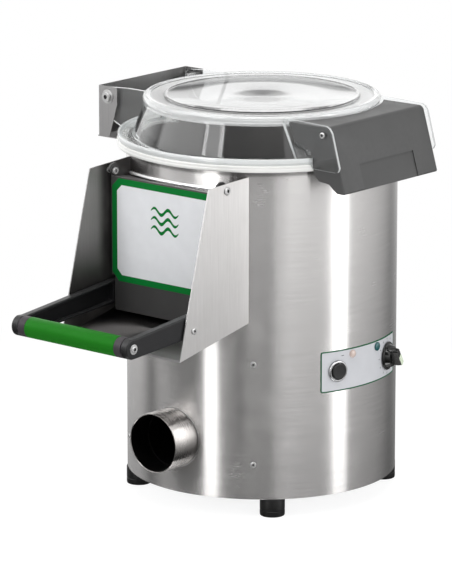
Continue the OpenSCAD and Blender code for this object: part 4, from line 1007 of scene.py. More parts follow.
def makeDrum(v, s):
    # the window of the shell goes through the drum too
    bm = bmesh.new()
    outer, inner, low, top = v["outer"], v["inner"], v["low"], v["top"]
    addLathe(bm, [(outer, low), (outer, top), (inner, top), (inner, low)], s["steps"])
    piece = meshPiece("drumWall", bm)
    cutWindow(piece, s)
    cutHole(piece, v["inletHole"], 100, 200, facing(0, 0, v["inletZ"], (0, 1, 0)))
    radialNormals(piece)
    place(piece, ("drum_steel",), "shell_steel", "body", "drum_wall")


rim = {
    "steps": 224,
    "plate": [(177.0, 490.5), (199.4, 490.5), (200.0, 490.9), (200.0, 491.6), (199.4, 492.0), (177.0, 492.0)],
    "gasket": [
        (190.1, 489.0), (200.6, 489.0), (201.9, 489.5), (202.6, 490.6), (202.7, 492.2), (202.7, 493.6),
        (202.3, 494.3), (202.3, 494.7), (202.7, 495.3), (202.7, 496.9), (202.3, 497.8), (201.4, 498.2),
        (187.2, 498.2), (186.3, 497.9), (186.0, 497.0), (186.0, 492.1), (200.0, 492.1), (200.0, 490.45),
        (190.1, 490.45)],
}


def makeRim(v):
    bm = bmesh.new()
    addLathe(bm, v["plate"], v["steps"])
    finishPiece("bodyRim", bm, 35, ("rim_steel",), "rim_steel", "body", "body_rim")
    bm = bmesh.new()
    addLathe(bm, v["gasket"], v["steps"])
    finishPiece("rimGasket", bm, 40, ("gasket_white",), "gasket_white", "body", "rim_gasket")


makeShell(shell)
makeLip(lip)
makeDrum(drum, shell)
makeRim(rim)
print("shell, drum and rim made")


# clear lid and its handle

lid = {
    "steps": 224,
    "top": [
        (0.4, 555.1), (6.0, 555.13), (14.0, 555.33), (50, 556.4), (90, 557.4),
        (130.6, 558.4), (131.8, 558.8), (132.8, 559.4), (134.4, 559.75), (136.0, 559.4), (137.0, 558.8),
        (138.4, 558.5), (153.0, 558.5), (156.0, 558.8), (158.2, 559.4)],
    "bead": (160.8, 554.5, 5.5),
    "neck": [(164.9, 550.2), (164.5, 549.4), (164.6, 548.4), (165.3, 545.5)],
    "wall": [(166.4, 542.5), (166.9, 541.1), (179.9, 505.9), (180.4, 504.5), (181.1, 503.1), (182.2, 502.5)],
    "flange": [
        (195.0, 502.5), (196.1, 502.8), (196.7, 503.6), (197.1, 505.6), (197.7, 506.6), (198.7, 507.0),
        (200.2, 507.0), (201.1, 506.6), (201.5, 505.7), (201.5, 499.6), (201.1, 498.8), (200.3, 498.5),
        (179.0, 498.5), (178.0, 498.8), (177.5, 499.6), (177.5, 502.0)],
    "inside": [
        (163.0, 541.5), (161.6, 545.6), (161.2, 548.5), (161.0, 551.5), (160.2, 553.6), (158.8, 555.0)],
    "under": [
        (157.0, 555.6), (153.0, 555.0), (138.0, 555.0), (136.0, 555.5), (134.4, 555.8), (132.8, 555.4),
        (130.6, 554.9), (90, 553.9), (50, 552.9), (14.5, 552.0), (12.0, 552.4), (0.4, 552.6)],
    "cheek": [
        (100, 500.5), (100, 557.4), (201, 555.2), (207, 552.5), (211.3, 546.5), (224.4, 499.5), (221.5, 494),
        (217, 493), (178, 493.5), (175, 498.5)],
    "cheekY": (102.8, 106.3),
    "hinge": (-204.0, 542.7, 13.0),
    "hingeY": (85.5, 90.5),
    "bore": 7.55,
    "screw": (195.5, 542.0, 2.1),
    "deckReach": 155.0,  # the deck is the flat middle inside this radius
    "edgeReach": 194.5,  # the cut edge of the flange is outside this radius, above edgeLow
    "edgeLow": 498.6,
    "beadLow": 545.5,
}


def lidSkirt(v, grow):
    # outside of the lid as a solid, a hair larger, to fit the cheeks to it
    x, z, r = v["bead"]
    profile = [(202.9, 470), (202.9, 498.3), (201.6 + grow, 498.3), (201.6 + grow, 507.1), (197, 507.1),
               (196.5, 502.6), (182.2, 502.6), (180.7 + grow, 504.0), (166.5 + grow, 542.3),
               (164.6 + grow, 548.4), (164.6 + grow, 549.6)]
    return profile + arcPoints(x, z, r + grow, -40, 90, 12) + [(0.5, 560.1)]


def makeLid(v):
    x, z, r = v["bead"]
    profile = v["top"] + arcPoints(x, z, r, 88, -40, 18) + v["neck"] + v["wall"] + v["flange"]
    profile += v["inside"] + v["under"]
    bm = bmesh.new()
    addLathe(bm, profile, v["steps"], closed=False)
    dome = meshPiece("lidDome", bm)
    for face in dome.data.polygons:
        reach = math.hypot(face.center.x, face.center.y)
        if reach < v["deckReach"] * mm:
            face.material_index = 1
        elif reach > v["edgeReach"] * mm and face.center.z > v["edgeLow"] * mm:
            face.material_index = 2
        elif face.center.z > v["beadLow"] * mm:
            face.material_index = 3
    smoothPiece(dome, 42)
    place(dome, ("lid_clear", "greyed_deck_clear", "clear_edge", "whitened_bead_clear"), "lid_clear", "lid", "lid_dome")
    hx, hz, hr = v["hinge"]
    back = [(hx + 84, 501.5), (hx + 84, 558), (hx + 34, 558)]
    back += arcPoints(hx, hz, hr, 88, 200, 16) + [(-198.5, 508.9), (-180, 501)]
    front = roundCorners(v["cheek"], [0, 0, 6, 4, 7, 4, 3, 4, 2, 0])
    for name, outline, span, hole in (
            ("handleCheeks", front, v["cheekY"], v["screw"]),
            ("hingeCheeks", back, v["hingeY"], (hx, hz, v["bore"]))):
        bm = bmesh.new()
        for low, high in bothSides(*span):
            addPrism(bm, outline, low, high, "y")
        piece = meshPiece(name, bm)
        skirt = bmesh.new()
        addLathe(skirt, lidSkirt(v, 0.06), v["steps"], closed=False)
        combine(piece, skirt, "DIFFERENCE")
        cutAcross(piece, hole[2], facing(hole[0], 0, hole[1], (0, 1, 0)))
        place(piece, ("lid_clear", "clear_edge"), "lid_clear", "lid")
        for face in piece.data.polygons:
            face.material_index = int(abs(face.normal.y) <= 0.7)  # all but the broad sides are cut edges
        roundEdges(piece, 0.6, 2, 40)


cover = {
    "half": 102.3, "wall": 3.0,
    "outline": [
        (100, 552.4), (204.9, 553.4), (231.7, 463.4), (216.7, 463.4), (210.7, 467.9),
        (202.7, 474.4), (185.7, 476.4), (179.7, 481.4), (175.5, 489.5), (175.5, 509.5), (163.5, 510.5),
        (161.5, 516.5), (142.5, 522.5), (135.2, 548.4), (100, 535)],
    "corners": [0, 8.5, 2.5, 3, 3, 3, 3, 3, 3, 3, 2, 2, 3, 2, 0],
    "hollow": [(60, 549.4), (199, 550.4), (228.2, 461), (228.2, 450), (60, 450)],
    "recessHalf": 59.0, "recessTop": 498.9, "recessDeep": 1.5, "slope": 0.3036, "rib": 3.0,
    "topX": 204.5, "topZ": 553.0, "footZ": 463.4,
    # room for the lid and the rim inside the cover, as radius and height
    "room": [(203.5, 440), (203.5, 508.5), (184.0, 508.6), (169.3, 546.0), (169.3, 600)],
    "roomSteps": 160,
}


def coverX(v, z):
    # how far out the sloping front is at a height
    return v["topX"] + (v["topZ"] - z) * v["slope"]


def makeCover(v):
    outline = roundCorners(v["outline"], v["corners"], 8)
    bm = bmesh.new()
    addPrism(bm, outline, -v["half"], v["half"], "y")
    piece = meshPiece("handleCover", bm)
    roundEdges(piece, 1.8, 4, 50, bake=True)
    inner = v["half"] - v["wall"]
    hollow = roundCorners(v["hollow"], [0, 6, 0, 0, 0])
    combinePrism(piece, "DIFFERENCE", hollow, -inner, inner, "y")
    # the wall behind the recess is thicker
    top, low, deep = v["recessTop"] + 6, v["footZ"] + 0.6, v["recessDeep"]
    backing = [(coverX(v, top) - 5, top), (coverX(v, top) - 1, top), (coverX(v, low) - 1, low),
               (coverX(v, low) - 5, low)]
    wide = v["recessHalf"] + v["rib"]
    combinePrism(piece, "UNION", backing, -wide, wide, "y")
    top, low = v["recessTop"], v["footZ"] - 6
    recess = [(coverX(v, top) - deep, top), (coverX(v, top) + 6, top), (coverX(v, low) + 6, low),
              (coverX(v, low) - deep, low)]
    combinePrism(piece, "DIFFERENCE", recess, -v["recessHalf"], v["recessHalf"], "y")
    cutRings(piece, [ringPoints(r, z, v["roomSteps"]) for r, z in v["room"]])
    roundEdges(piece, 0.5, 2, 40)
    place(piece, ("cover_plastic",), "cover_plastic", "lid", "handle_cover")


coverScrew = {
    "at": (195.5, 542.0), "y": 106.3, "head": 4.4, "height": 2.2, "socket": 2.2, "shank": 2.0, "reach": 14,
    "washer": (4.0, 2.05, 2.6), "washerY": 96.6,
}


def makeCoverScrews(v):
    bm = bmesh.new()
    x, z = v["at"]
    for side in (1, -1):
        spot = facing(x, side * v["y"], z, (0, side, 0))
        addScrew(bm, v, spot)
        addWasher(bm, *v["washer"], facing(x, side * v["washerY"], z, (0, side, 0)))
    finishPiece("coverScrews", bm, 30, boltFinish, "bolt_steel", "lid", "cover_screws")


makeLid(lid)
makeCover(cover)
makeCoverScrews(coverScrew)
print("lid and handle made")


# hinge bracket

bracket = {
    "backX": -222.8, "half": 94.0, "sheet": 1.5, "low": 484.0, "high": 557.2, "frontX": -100.0, "bend": 3.2,
    "side": [(-222.8, 484), (-222.8, 557.2), (-187, 557.2), (-187, 532.7), (-202, 484)],
    "hole": (-204.0, 542.7, 5.1), "roomZ": (400, 600),
}


def makeBracket(v):
    x, h, t = v["backX"], v["half"], v["sheet"]
    outer = [(v["frontX"], -h), (x, -h), (x, h), (v["frontX"], h)]
    inner = [(v["frontX"], h - t), (x + t, h - t), (x + t, -h + t), (v["frontX"], -h + t)]
    outline = roundCorners(outer + inner, [0, v["bend"], v["bend"], 0, 0, v["bend"] - t, v["bend"] - t, 0])
    bm = bmesh.new()
    addPrism(bm, outline, v["low"], v["high"], "z")
    piece = meshPiece("hingeBracket", bm)
    combinePrism(piece, "INTERSECT", roundCorners(v["side"], [0, 1.5, 3, 6, 2]), -h - 5, h + 5, "y")
    foot = boxOutline(x + 0.02, -110, -h + 0.02, h - 0.02)
    combinePrism(piece, "UNION", foot, v["low"], v["low"] + t, "z")
    cutHole(piece, shellRoom, *v["roomZ"], steps=160)
    holeX, holeZ, radius = v["hole"]
    cutAcross(piece, radius, facing(holeX, 0, holeZ, (0, 1, 0)), 120)
    roundEdges(piece, 0.35, 2, 40)
    place(piece, ("dim_steel",), "sheet_steel", "body", "hinge_bracket")


hingeBolt = {
    "at": (-204.0, 542.7), "y": 94.0, "washer": (10.0, 5.1, 1.5), "head": 7.0, "height": 4.0, "socket": 2.9,
    "shank": 5.0, "reach": 16, "inner": (8.0, 5.05, 1.4), "innerDeep": 2.9,
    # radius and height of the nut inside, from its free end to its seat
    "nut": [(7.44, -15), (8.0, -14.6), (8.0, -10.4), (7.44, -10)],
}


def makeHingeBolts(v):
    bm = bmesh.new()
    x, z = v["at"]
    for side in (1, -1):
        spot = facing(x, side * v["y"], z, (0, side, 0))
        addWasher(bm, *v["washer"], spot)
        addScrewHead(bm, v, spot @ Matrix.Translation((0, 0, v["washer"][2])), capHead)
        addShank(bm, v["shank"], -v["reach"], 0.5, spot)
        addWasher(bm, *v["inner"], spot @ Matrix.Translation((0, 0, -v["innerDeep"])))
        addRings(bm, [ringPoints(r, t, 36, 6) for r, t in v["nut"]], spot)
    finishPiece("hingeBolts", bm, 30, boltFinish, "bolt_steel", "body", "hinge_bolts")


makeBracket(bracket)
makeHingeBolts(hingeBolt)
print("hinge bracket made")


# discharge chute, door and grip

chute = {
    "half": 107.9, "sheet": 1.5, "back": -145.0, "topZ": 481.0, "frontTop": (-240.0, 477.0), "frontY": -300.0,
    "floorZ": 267.2, "doorY": -206.0, "fall": 10.7, "hem": 14.0,
    "bolt": (-202.0, 469.0, 4.1), "screw": (-271.0, 287.6, 2.1), "roomZ": (200, 520),
}


def chuteFloor(v, y):
    # height of the sloping floor
    return v["floorZ"] + math.tan(math.radians(v["fall"])) * (y - v["doorY"])


def makeChute(v):
    h, t, front, back = v["half"], v["sheet"], v["frontY"], v["back"]
    cheek = [(back, v["topZ"]), v["frontTop"], (front, chuteFloor(v, front)), (back, chuteFloor(v, back))]
    cheek = roundCorners(cheek, [0, 2, 1.5, 0])
    floor = [(front, chuteFloor(v, front)), (back, chuteFloor(v, back)), (back, chuteFloor(v, back) + t),
             (front, chuteFloor(v, front) + t)]
    hemY = front + v["hem"]
    hem = [(front + 0.05, chuteFloor(v, front) + 0.2), (hemY, chuteFloor(v, hemY) + 0.2),
           (hemY, chuteFloor(v, hemY) + 2 * t), (front + 0.05, chuteFloor(v, front) + 2 * t)]
    bm = bmesh.new()
    addPrism(bm, cheek, h - t, h, "x")
    piece = meshPiece("dischargeChute", bm)
    combinePrism(piece, "UNION", cheek, -h, -h + t, "x")
    combinePrism(piece, "UNION", floor, -h + 0.02, h - 0.02, "x")
    combinePrism(piece, "UNION", hem, -h + t + 0.1, h - t - 0.1, "x")
    cutHole(piece, shellRoom, *v["roomZ"], steps=160)
    for y, z, r in (v["bolt"], v["screw"]):
        cutAcross(piece, r, facing(0, y, z, (1, 0, 0)))
    # edges that look forwards are dim, and faces that look inwards get the inner steel, a darker copy of the
    # sheet steel that paints the shade inside the chute
    for face in piece.data.polygons:
        inward = abs(face.center.x) < (h - t + 0.1) * mm and face.normal.z > -0.5 and face.normal.y > -0.7
        face.material_index = 2 if face.normal.y < -0.7 else int(inward)
    roundEdges(piece, 0.45, 2, 40)
    place(piece, ("sheet_steel", "inner_steel", "dim_steel"), "sheet_steel", "body", "discharge_chute")


sideScrews = {
    "pivot": {
        "y": -202.0, "z": 469.0, "x": 107.9, "head": 6.0, "height": 2.2, "socket": 2.2, "shank": 4.0,
        "reach": 14.5, "nutX": 95.2, "nut": {"head": 5.0, "height": 3.0, "socket": 2.0}},
    "guide": {
        "y": -271.0, "z": 287.6, "x": 107.9, "head": 5.0, "height": 2.2, "socket": 1.8, "shank": 2.0,
        "reach": 2.6},
}


def makeSideScrews(v, name, node):
    bm = bmesh.new()
    for side in (1, -1):
        spot = facing(side * v["x"], v["y"], v["z"], (side, 0, 0))
        addScrew(bm, v, spot)
        if "nut" in v:
            addScrewHead(bm, v["nut"], facing(side * v["nutX"], v["y"], v["z"], (-side, 0, 0)), capHead)
    finishPiece(name, bm, 30, boltFinish, "bolt_steel", "body", node)


door = {
    "front": -206.0, "back": -146.0, "half": 98.5, "footHalf": 92.5, "low": 273.5, "step": 322.5,
    "top": 463.0, "fall": 0.163, "floorFall": 0.189, "skin": 195.5, "roomZ": (200, 520),
    "ear": (-202.0, 469.0, 11.0), "earX": (95.5, 98.5), "bore": 4.05,
}


def makeDoor(v):
    f, b = v["front"], v["back"]
    deep = b - f
    upper = [(f, v["step"]), (b, v["step"]), (b, v["top"] - v["fall"] * deep), (f, v["top"])]
    lower = [(f, v["low"]), (b, v["low"] + v["floorFall"] * deep), (b, v["step"] + 1), (f, v["step"] + 1)]
    bm = bmesh.new()
    addPrism(bm, upper, -v["half"], v["half"], "x")
    piece = meshPiece("doorPanel", bm)
    combinePrism(piece, "UNION", lower, -v["footHalf"], v["footHalf"], "x")
    roundEdges(piece, 1.6, 3, 50, bake=True)
    y, z, r = v["ear"]
    ear = [(f + 1, 459.5), (f + 36, 453.5), (y + r + 8, z - 5)] + arcPoints(y, z, r, 20, 165, 14)
    ear += [(f + 0.2, z - 5)]
    for low, high in bothSides(*v["earX"]):
        combinePrism(piece, "UNION", ear, low, high, "x")
    cutHole(piece, v["skin"], *v["roomZ"], steps=192)
    cutAcross(piece, v["bore"], facing(0, y, z, (1, 0, 0)))
    roundEdges(piece, 0.35, 2, 45)
    place(piece, ("door_plastic",), "door_plastic", "door", "door_panel")


label = {
    "half": 96.0, "low": 315.5, "high": 460.7, "border": 9.0, "chamfer": 12.0, "front": -206.0, "thick": 0.5,
    "edge": 0.12, "sunk": 0.06, "ink": 0.05, "count": 48,
    "waves": 3, "waveHalf": 25.0, "waveZ": 398.0, "waveStep": 13.0, "waveHigh": 4.2, "waveThick": 2.6,
}


def labelOutline(v, inset):
    w, z0, z1 = v["half"] - inset, v["low"] + inset, v["high"] - inset
    c = v["chamfer"] - inset * 0.4
    return [(-w + c, z0), (w - c, z0), (w, z0 + c), (w, z1 - c),
            (w - c, z1), (-w + c, z1), (-w, z1 - c), (-w, z0 + c)]


def makeLabel(v):
    seat, front, edge = v["front"], v["front"] - v["thick"], v["edge"]
    bm = bmesh.new()
    outer, face, inner = labelOutline(v, 0), labelOutline(v, edge), labelOutline(v, v["border"])
    levels = ((outer, seat), (outer, front + edge), (face, front), (inner, front), (inner, seat))
    addRings(bm, [[(x, y, z) for x, z in outline] for outline, y in levels], closed=True)
    finishPiece("labelBorder", bm, 30, ("label_green",), "label_green", "door", "label_border")
    bm = bmesh.new()
    addPrism(bm, labelOutline(v, v["border"] + 0.02), front + v["sunk"], seat, "y")
    finishPiece("labelField", bm, 30, ("label_white",), "label_white", "door", "label_field")
    bm = bmesh.new()
    count, low, high = v["count"], front + v["ink"], front - v["ink"]
    for wave in range(v["waves"]):
        middle = v["waveZ"] + wave * v["waveStep"]
        rings = []
        for i in range(count + 1):
            x = -v["waveHalf"] + 2 * v["waveHalf"] * i / count
            z = middle + v["waveHigh"] * math.sin(i / count * 4 * math.pi)
            half = v["waveThick"] * (0.25 + 0.75 * math.sin(math.pi * i / count) ** 0.5)
            rings.append([(x, low, z - half), (x, high, z - half), (x, high, z + half), (x, low, z + half)])
        addRings(bm, rings)
    finishPiece("waveSign", bm, 30, ("label_green",), "label_green", "door")


arms = {
    "inner": 92.8, "outer": 104.6, "backY": -180.0, "doorY": -206.0, "top": 315.5, "low": 283.5,
    "gripY": -389.3, "gripZ": 285.1, "endTop": 297.5, "grip": 14.25, "skin": 3.5, "shelf": 3.2,
    # y, z and radius of the holes for the grip screw and the two arm screws
    "holes": ((-389.3, 285.1, 3.05), (-192.0, 307.5, 2.05), (-192.0, 291.5, 2.05)),
}


def makeArms(v):
    bm = bmesh.new()
    gy, gz, r = v["gripY"], v["gripZ"], v["grip"]
    outline = [(v["backY"], v["low"]), (v["backY"], v["top"]), (v["doorY"], v["top"])]
    outline += [(gy + 5.5, v["endTop"] + 1.1)] + arcPoints(gy, gz, r, 100, 262, 22)
    outline += [(gy + 6, gz - r + 0.4), (v["doorY"] - 40, v["low"] - 4)]
    outline = roundCorners(outline, [3, 3, 8] + [0] * (len(outline) - 4) + [10])
    for low, high in bothSides(v["inner"], v["outer"]):
        addPrism(bm, outline, low, high, "x")
    piece = meshPiece("doorArms", bm)
    roundEdges(piece, 2.2, 3, 45, bake=True)
    # the inner side of each arm is hollow
    s = v["shelf"]
    back, end = v["doorY"] - 3, gy + r + 6
    pocket = [(back, v["low"] + s), (back, v["top"] - s), (end, v["endTop"] - s + 1), (end, gz - r + s + 1),
              (v["doorY"] - 40, v["low"] - 4 + s)]
    for low, high in bothSides(v["inner"] - 5, v["outer"] - v["skin"]):
        combinePrism(piece, "DIFFERENCE", roundCorners(pocket, 4), low, high, "x")
    for y, z, radius in v["holes"]:
        cutAcross(piece, radius, facing(0, y, z, (1, 0, 0)))
    roundEdges(piece, 0.4, 2, 50)
    place(piece, ("arm_plastic",), "arm_plastic", "door", "door_arms")


grip = {"y": -389.3, "z": 285.1, "radius": 14.25, "sleeveHalf": 80.5, "collarEnd": 92.75, "bore": 6.05}


def makeGrip(v):
    spot = facing(0, v["y"], v["z"], (1, 0, 0))
    r, h = v["radius"], v["sleeveHalf"]
    inner, end = v["bore"], v["collarEnd"]
    sleeve = [(inner, -h), (r - 0.5, -h), (r - 0.12, -h + 0.35), (r, -h + 1.2), (r, h - 1.2),
              (r - 0.12, h - 0.35), (r - 0.5, h), (inner, h)]
    bm = bmesh.new()
    addLathe(bm, sleeve, 64, spot)
    finishPiece("gripSleeve", bm, 40, ("grip_green",), "grip_green", "door", "grip_sleeve")
    collar = [(inner, h + 0.05), (r - 0.6, h + 0.05), (r, h + 0.6), (r, end - 0.5), (r - 0.4, end),
              (inner, end)]
    bm = bmesh.new()
    for side in (1, -1):
        addLathe(bm, [(radius, side * x) for radius, x in collar], 64, spot)
    finishPiece("gripCollars", bm, 30, ("grip_grey",), "grip_grey", "door", "grip_ends")


gripScrew = {
    "x": 104.6, "washer": (7.0, 3.1, 1.0), "head": 4.9, "height": 1.6, "socket": 2.3, "shank": 2.95,
    "reach": 29.0,
}
armScrew = {
    "x": 104.6, "y": -192.0, "rise": 8.0, "z": 299.5, "head": 4.0, "height": 1.2, "socket": 1.4,
    "shank": 2.0, "reach": 11.9,
}


def makeGripScrews(v, g, a):
    bm = bmesh.new()
    for side in (1, -1):
        spot = facing(side * v["x"], g["y"], g["z"], (side, 0, 0))
        thick = v["washer"][2]
        addWasher(bm, *v["washer"], spot)
        addScrewHead(bm, v, spot @ Matrix.Translation((0, 0, thick)))
        addShank(bm, v["shank"], -v["reach"], thick, spot)
    finishPiece("gripScrews", bm, 30, boltFinish, "bolt_steel", "door", "grip_screws")
    bm = bmesh.new()
    for side in (1, -1):
        for rise in (-a["rise"], a["rise"]):
            spot = facing(side * a["x"], a["y"], a["z"] + rise, (side, 0, 0))
            addScrew(bm, a, spot)
    finishPiece("armScrews", bm, 30, boltFinish, "bolt_steel", "door", "arm_screws")


makeChute(chute)
makeSideScrews(sideScrews["pivot"], "pivotBolts", "door_pivot_bolts")
makeSideScrews(sideScrews["guide"], "guideScrews", "guide_screws")
makeDoor(door)
makeLabel(label)
makeArms(arms)
makeGrip(grip)
makeGripScrews(gripScrew, grip, armScrew)
print("chute, door and grip made")


# drain spout and feet

spout = {
    "radius": 42.0, "neck": 41.0, "bore": 40.5, "neckBore": 40.0, "z": 103.0,
    "front": -232.8, "step": -195.2, "seat": -191.2, "back": -184.0,
}


def makeSpout(v):
    r, inner, y0, y1 = v["radius"], v["bore"], v["front"], v["back"]
    bm = bmesh.new()
    profile = [(v["neckBore"], -v["step"]), (v["neckBore"], -y1), (v["neck"], -y1), (v["neck"], -v["seat"]),
               (r, -v["seat"]), (r, -y0 - 0.5), (r - 0.4, -y0), (inner + 0.4, -y0), (inner, -y0 - 0.4),
               (inner, -v["step"])]
    addLathe(bm, profile, 128, facing(0, 0, 0, (0, -1, 0)))
    piece = meshPiece("drainSpout", bm)
    piece.location.z = v["z"] * mm
    for face in piece.data.polygons:
        reach = math.hypot(face.center.x, face.center.z)
        face.material_index = int(reach < (inner + 0.1) * mm)  # painted shade: the inside is near black
    smoothPiece(piece, 40)
    place(piece, ("spout_steel", "shade_black_steel"), "sheet_steel", "body", "drain_spout")


weldBead = {
    "radius": 42.3, "z": 103.0, "shell": 190.2, "bead": 0.6, "count": 96, "sides": 8,
    "ripple": 0.08, "ripples": 31,
}


def makeWeld(v):
    # bead of weld round the spout, along its joint with the shell
    r, off = v["radius"], Vector((0, -1, 0))
    rings = []
    for i in range(v["count"]):
        a = 2 * math.pi * i / v["count"]
        x, z = r * math.sin(a), v["z"] + r * math.cos(a)
        middle = Vector((x, -math.sqrt(v["shell"] ** 2 - x * x), z))
        out = Vector((math.sin(a), 0, math.cos(a)))
        thick = v["bead"] * (1 + v["ripple"] * math.sin(v["ripples"] * a))
        turns = [2 * math.pi * k / v["sides"] for k in range(v["sides"])]
        rings.append([middle + out * math.cos(b) * thick + off * math.sin(b) * thick for b in turns])
    bm = bmesh.new()
    addRings(bm, rings, closed=True)
    finishPiece("spoutWeld", bm, 60, ("dim_steel",), "sheet_steel", "body")


feet = {
    "circle": 174.0, "angles": (45, 135, 225, 315), "steps": 56,
    "profile": [
        (9.0, 0.0), (16.2, 0.0), (17.0, 0.5), (17.4, 1.6), (17.5, 4.0), (17.5, 7.6), (16.9, 8.2), (16.9, 9.2),
        (17.5, 9.8), (17.5, 24.8), (17.1, 25.7), (16.6, 26.0), (4.3, 26.0), (4.3, 7.8), (9.0, 7.8)],
}


def makeFeet(v):
    bm = bmesh.new()
    for angle in v["angles"]:
        a = math.radians(angle)
        spot = Matrix.Translation((v["circle"] * math.sin(a), -v["circle"] * math.cos(a), 0))
        addLathe(bm, v["profile"], v["steps"], spot)
    finishPiece("rubberFeet", bm, 35, ("foot_rubber",), "foot_rubber", "body", "feet")


shellScrew = {
    "angles": (36.6, 143.4, 216.6, 323.4), "heights": (76.0, 218.6), "head": 4.0, "height": 2.0,
    "socket": 1.5, "shank": 2.0, "reach": 8.0, "rise": 0.05,
}


def makeShellScrews(v):
    bm = bmesh.new()
    for angle in v["angles"]:
        for z in v["heights"]:
            spot = onShell(angle, z)
            addScrewHead(bm, v, spot @ Matrix.Translation((0, 0, v["rise"])))
            addShank(bm, v["shank"], -v["reach"], 0.2, spot)
    finishPiece("shellScrews", bm, 30, boltFinish, "bolt_steel", "body", "shell_screws")


makeSpout(spout)
makeWeld(weldBead)
makeFeet(feet)
makeShellScrews(shellScrew)
print("spout, feet and shell screws made")


# control panel

panel = {
    "radius": 190.65, "thick": 0.5, "halfAngle": 24.8, "low": 173.0, "high": 231.0, "corner": 3.0,
    "line": 1.7, "columns": 120, "close": 1e-6,
    # angle, height and radius of the holes for the button, the lamps and the timer
    "holes": ((73.1, 202.0, 11.3), (81.0, 222.5, 4.1), (97.0, 222.5, 4.1), (106.6, 202.0, 5.0)),
}


def edgeHeights(s, half, low, high, corner):
    # lowest and highest point of a rectangle with round corners at a distance s from its middle
    near = abs(s) - (half - corner)
    if near <= 0:
        return low, high
    if near >= corner:
        return low + corner, high - corner
    sink = corner - math.sqrt(corner * corner - near * near)
    return low + sink, high - sink


def makePanel(v):
    half = v["radius"] * math.radians(v["halfAngle"])
    line, corner = v["line"], v["corner"]
    spots = {-half + 2 * half * i / v["columns"] for i in range(v["columns"] + 1)}
    for k in range(7):
        share = 1 - math.cos(math.pi / 2 * k / 6)
        for inset in (corner * share, line + (corner - line) * share):
            spots |= {half - inset, -half + inset}
    spots = sorted(spots)
    bm = bmesh.new()

    def bend(s, z):
        a = s / v["radius"]
        return bm.verts.new(Vector((v["radius"] * math.cos(a), v["radius"] * math.sin(a), z)) * mm)

    def band(s0, s1, low0, high0, low1, high1, index):
        if high0 - low0 < v["close"] and high1 - low1 < v["close"]:
            return
        face = bm.faces.new((bend(s0, low0), bend(s1, low1), bend(s1, high1), bend(s0, high0)))
        face.material_index = index
        face.smooth = True

    for s0, s1 in zip(spots, spots[1:]):
        rows = []
        for s in (s0, s1):
            low, high = edgeHeights(s, half, v["low"], v["high"], corner)
            if abs(s) <= half - line + v["close"]:
                inLow, inHigh = edgeHeights(s, half - line, v["low"] + line, v["high"] - line, corner - line)
            else:
                inLow = inHigh = None
            rows.append((low, high, inLow, inHigh))
        (l0, h0, a0, b0), (l1, h1, a1, b1) = rows
        if a0 is None or a1 is None:
            band(s0, s1, l0, h0, l1, h1, 1)
        else:
            band(s0, s1, l0, a0, l1, a1, 1)
            band(s0, s1, a0, b0, a1, b1, 0)
            band(s0, s1, b0, h0, b1, h1, 1)
    bmesh.ops.remove_doubles(bm, verts=bm.verts, dist=v["close"])
    piece = meshPiece("panelLabel", bm)
    for name in ("panel_print", "panel_outline"):
        piece.data.materials.append(finishes[name])
    if sum(face.normal.dot(face.center) for face in piece.data.polygons) < 0:
        piece.data.flip_normals()
    solid = piece.modifiers.new("film", "SOLIDIFY")
    solid.thickness = v["thick"] * mm
    solid.offset = -1
    bakeModifiers(piece)
    for angle, z, radius in v["holes"]:
        cutHole(piece, radius, -10, 10, onShell(angle, z), 40)
    radialNormals(piece)
    place(piece, (), "panel_print", "body", "panel_label")


dial = {
    "angle": 106.6, "z": 202.0, "radius": 23.6, "marks": 10, "start": 60.0, "end": 330.0, "long": 2.8,
    "wide": 0.8, "ink": (0.64, 0.72),
    "lampMark": {"angle": 76.4, "z": 222.5, "long": 4.0, "half": 0.45},
}


def addMark(bm, points, spot, ink):
    # a printed mark that follows the shell: points are across and up from the spot
    drops = [shellRadius - math.sqrt(shellRadius ** 2 - x * x) for x, y in points]
    low, high = [[(x, y, level - drop) for (x, y), drop in zip(points, drops)] for level in ink]
    addRings(bm, [high, low], spot)


def makeDialMarks(v):
    bm = bmesh.new()
    spot = onShell(v["angle"], v["z"])
    for i in range(v["marks"]):
        a = math.radians(v["start"] + (v["end"] - v["start"]) * i / (v["marks"] - 1))
        out = Vector((math.cos(a), math.sin(a)))
        side = Vector((-out.y, out.x)) * v["wide"] / 2
        near, far = out * v["radius"], out * (v["radius"] + v["long"])
        points = [tuple(near - side), tuple(far - side), tuple(far + side), tuple(near + side)]
        addMark(bm, points, spot, v["ink"])
    lamp = v["lampMark"]
    half = lamp["half"]
    addMark(bm, boxOutline(-lamp["long"], 0, -half, half), onShell(lamp["angle"], lamp["z"]), v["ink"])
    finishPiece("dialMarks", bm, 30, ("dial_ink",), "panel_print", "body")


bezel = {
    "angle": 73.1, "z": 202.0,
    "profile": [
        (11.5, 0.75), (15.0, 0.75), (15.0, 3.2), (14.7, 3.9), (14.0, 4.55), (13.3, 4.75), (12.5, 4.6),
        (11.9, 3.9), (11.5, 2.8)],
    "body": [(8.05, -22), (11.2, -22), (11.2, 1.0), (8.05, 1.0)],
    "nut": (15.2, 11.25, -7.0, -3.0),
}


def makeBezel(v):
    bm = bmesh.new()
    spot = onShell(v["angle"], v["z"])
    addLathe(bm, v["profile"], 72, spot)
    addLathe(bm, v["body"], 48, spot)
    wide, thread, low, high = v["nut"]
    rings = [ringPoints(wide, low, 36, 6), ringPoints(wide, high, 36, 6), ringPoints(thread, high, 36),
             ringPoints(thread, low, 36)]
    addRings(bm, rings, spot, closed=True)
    finishPiece("buttonBezel", bm, 35, ("bezel_steel",), "bezel_steel", "body", "button_bezel")


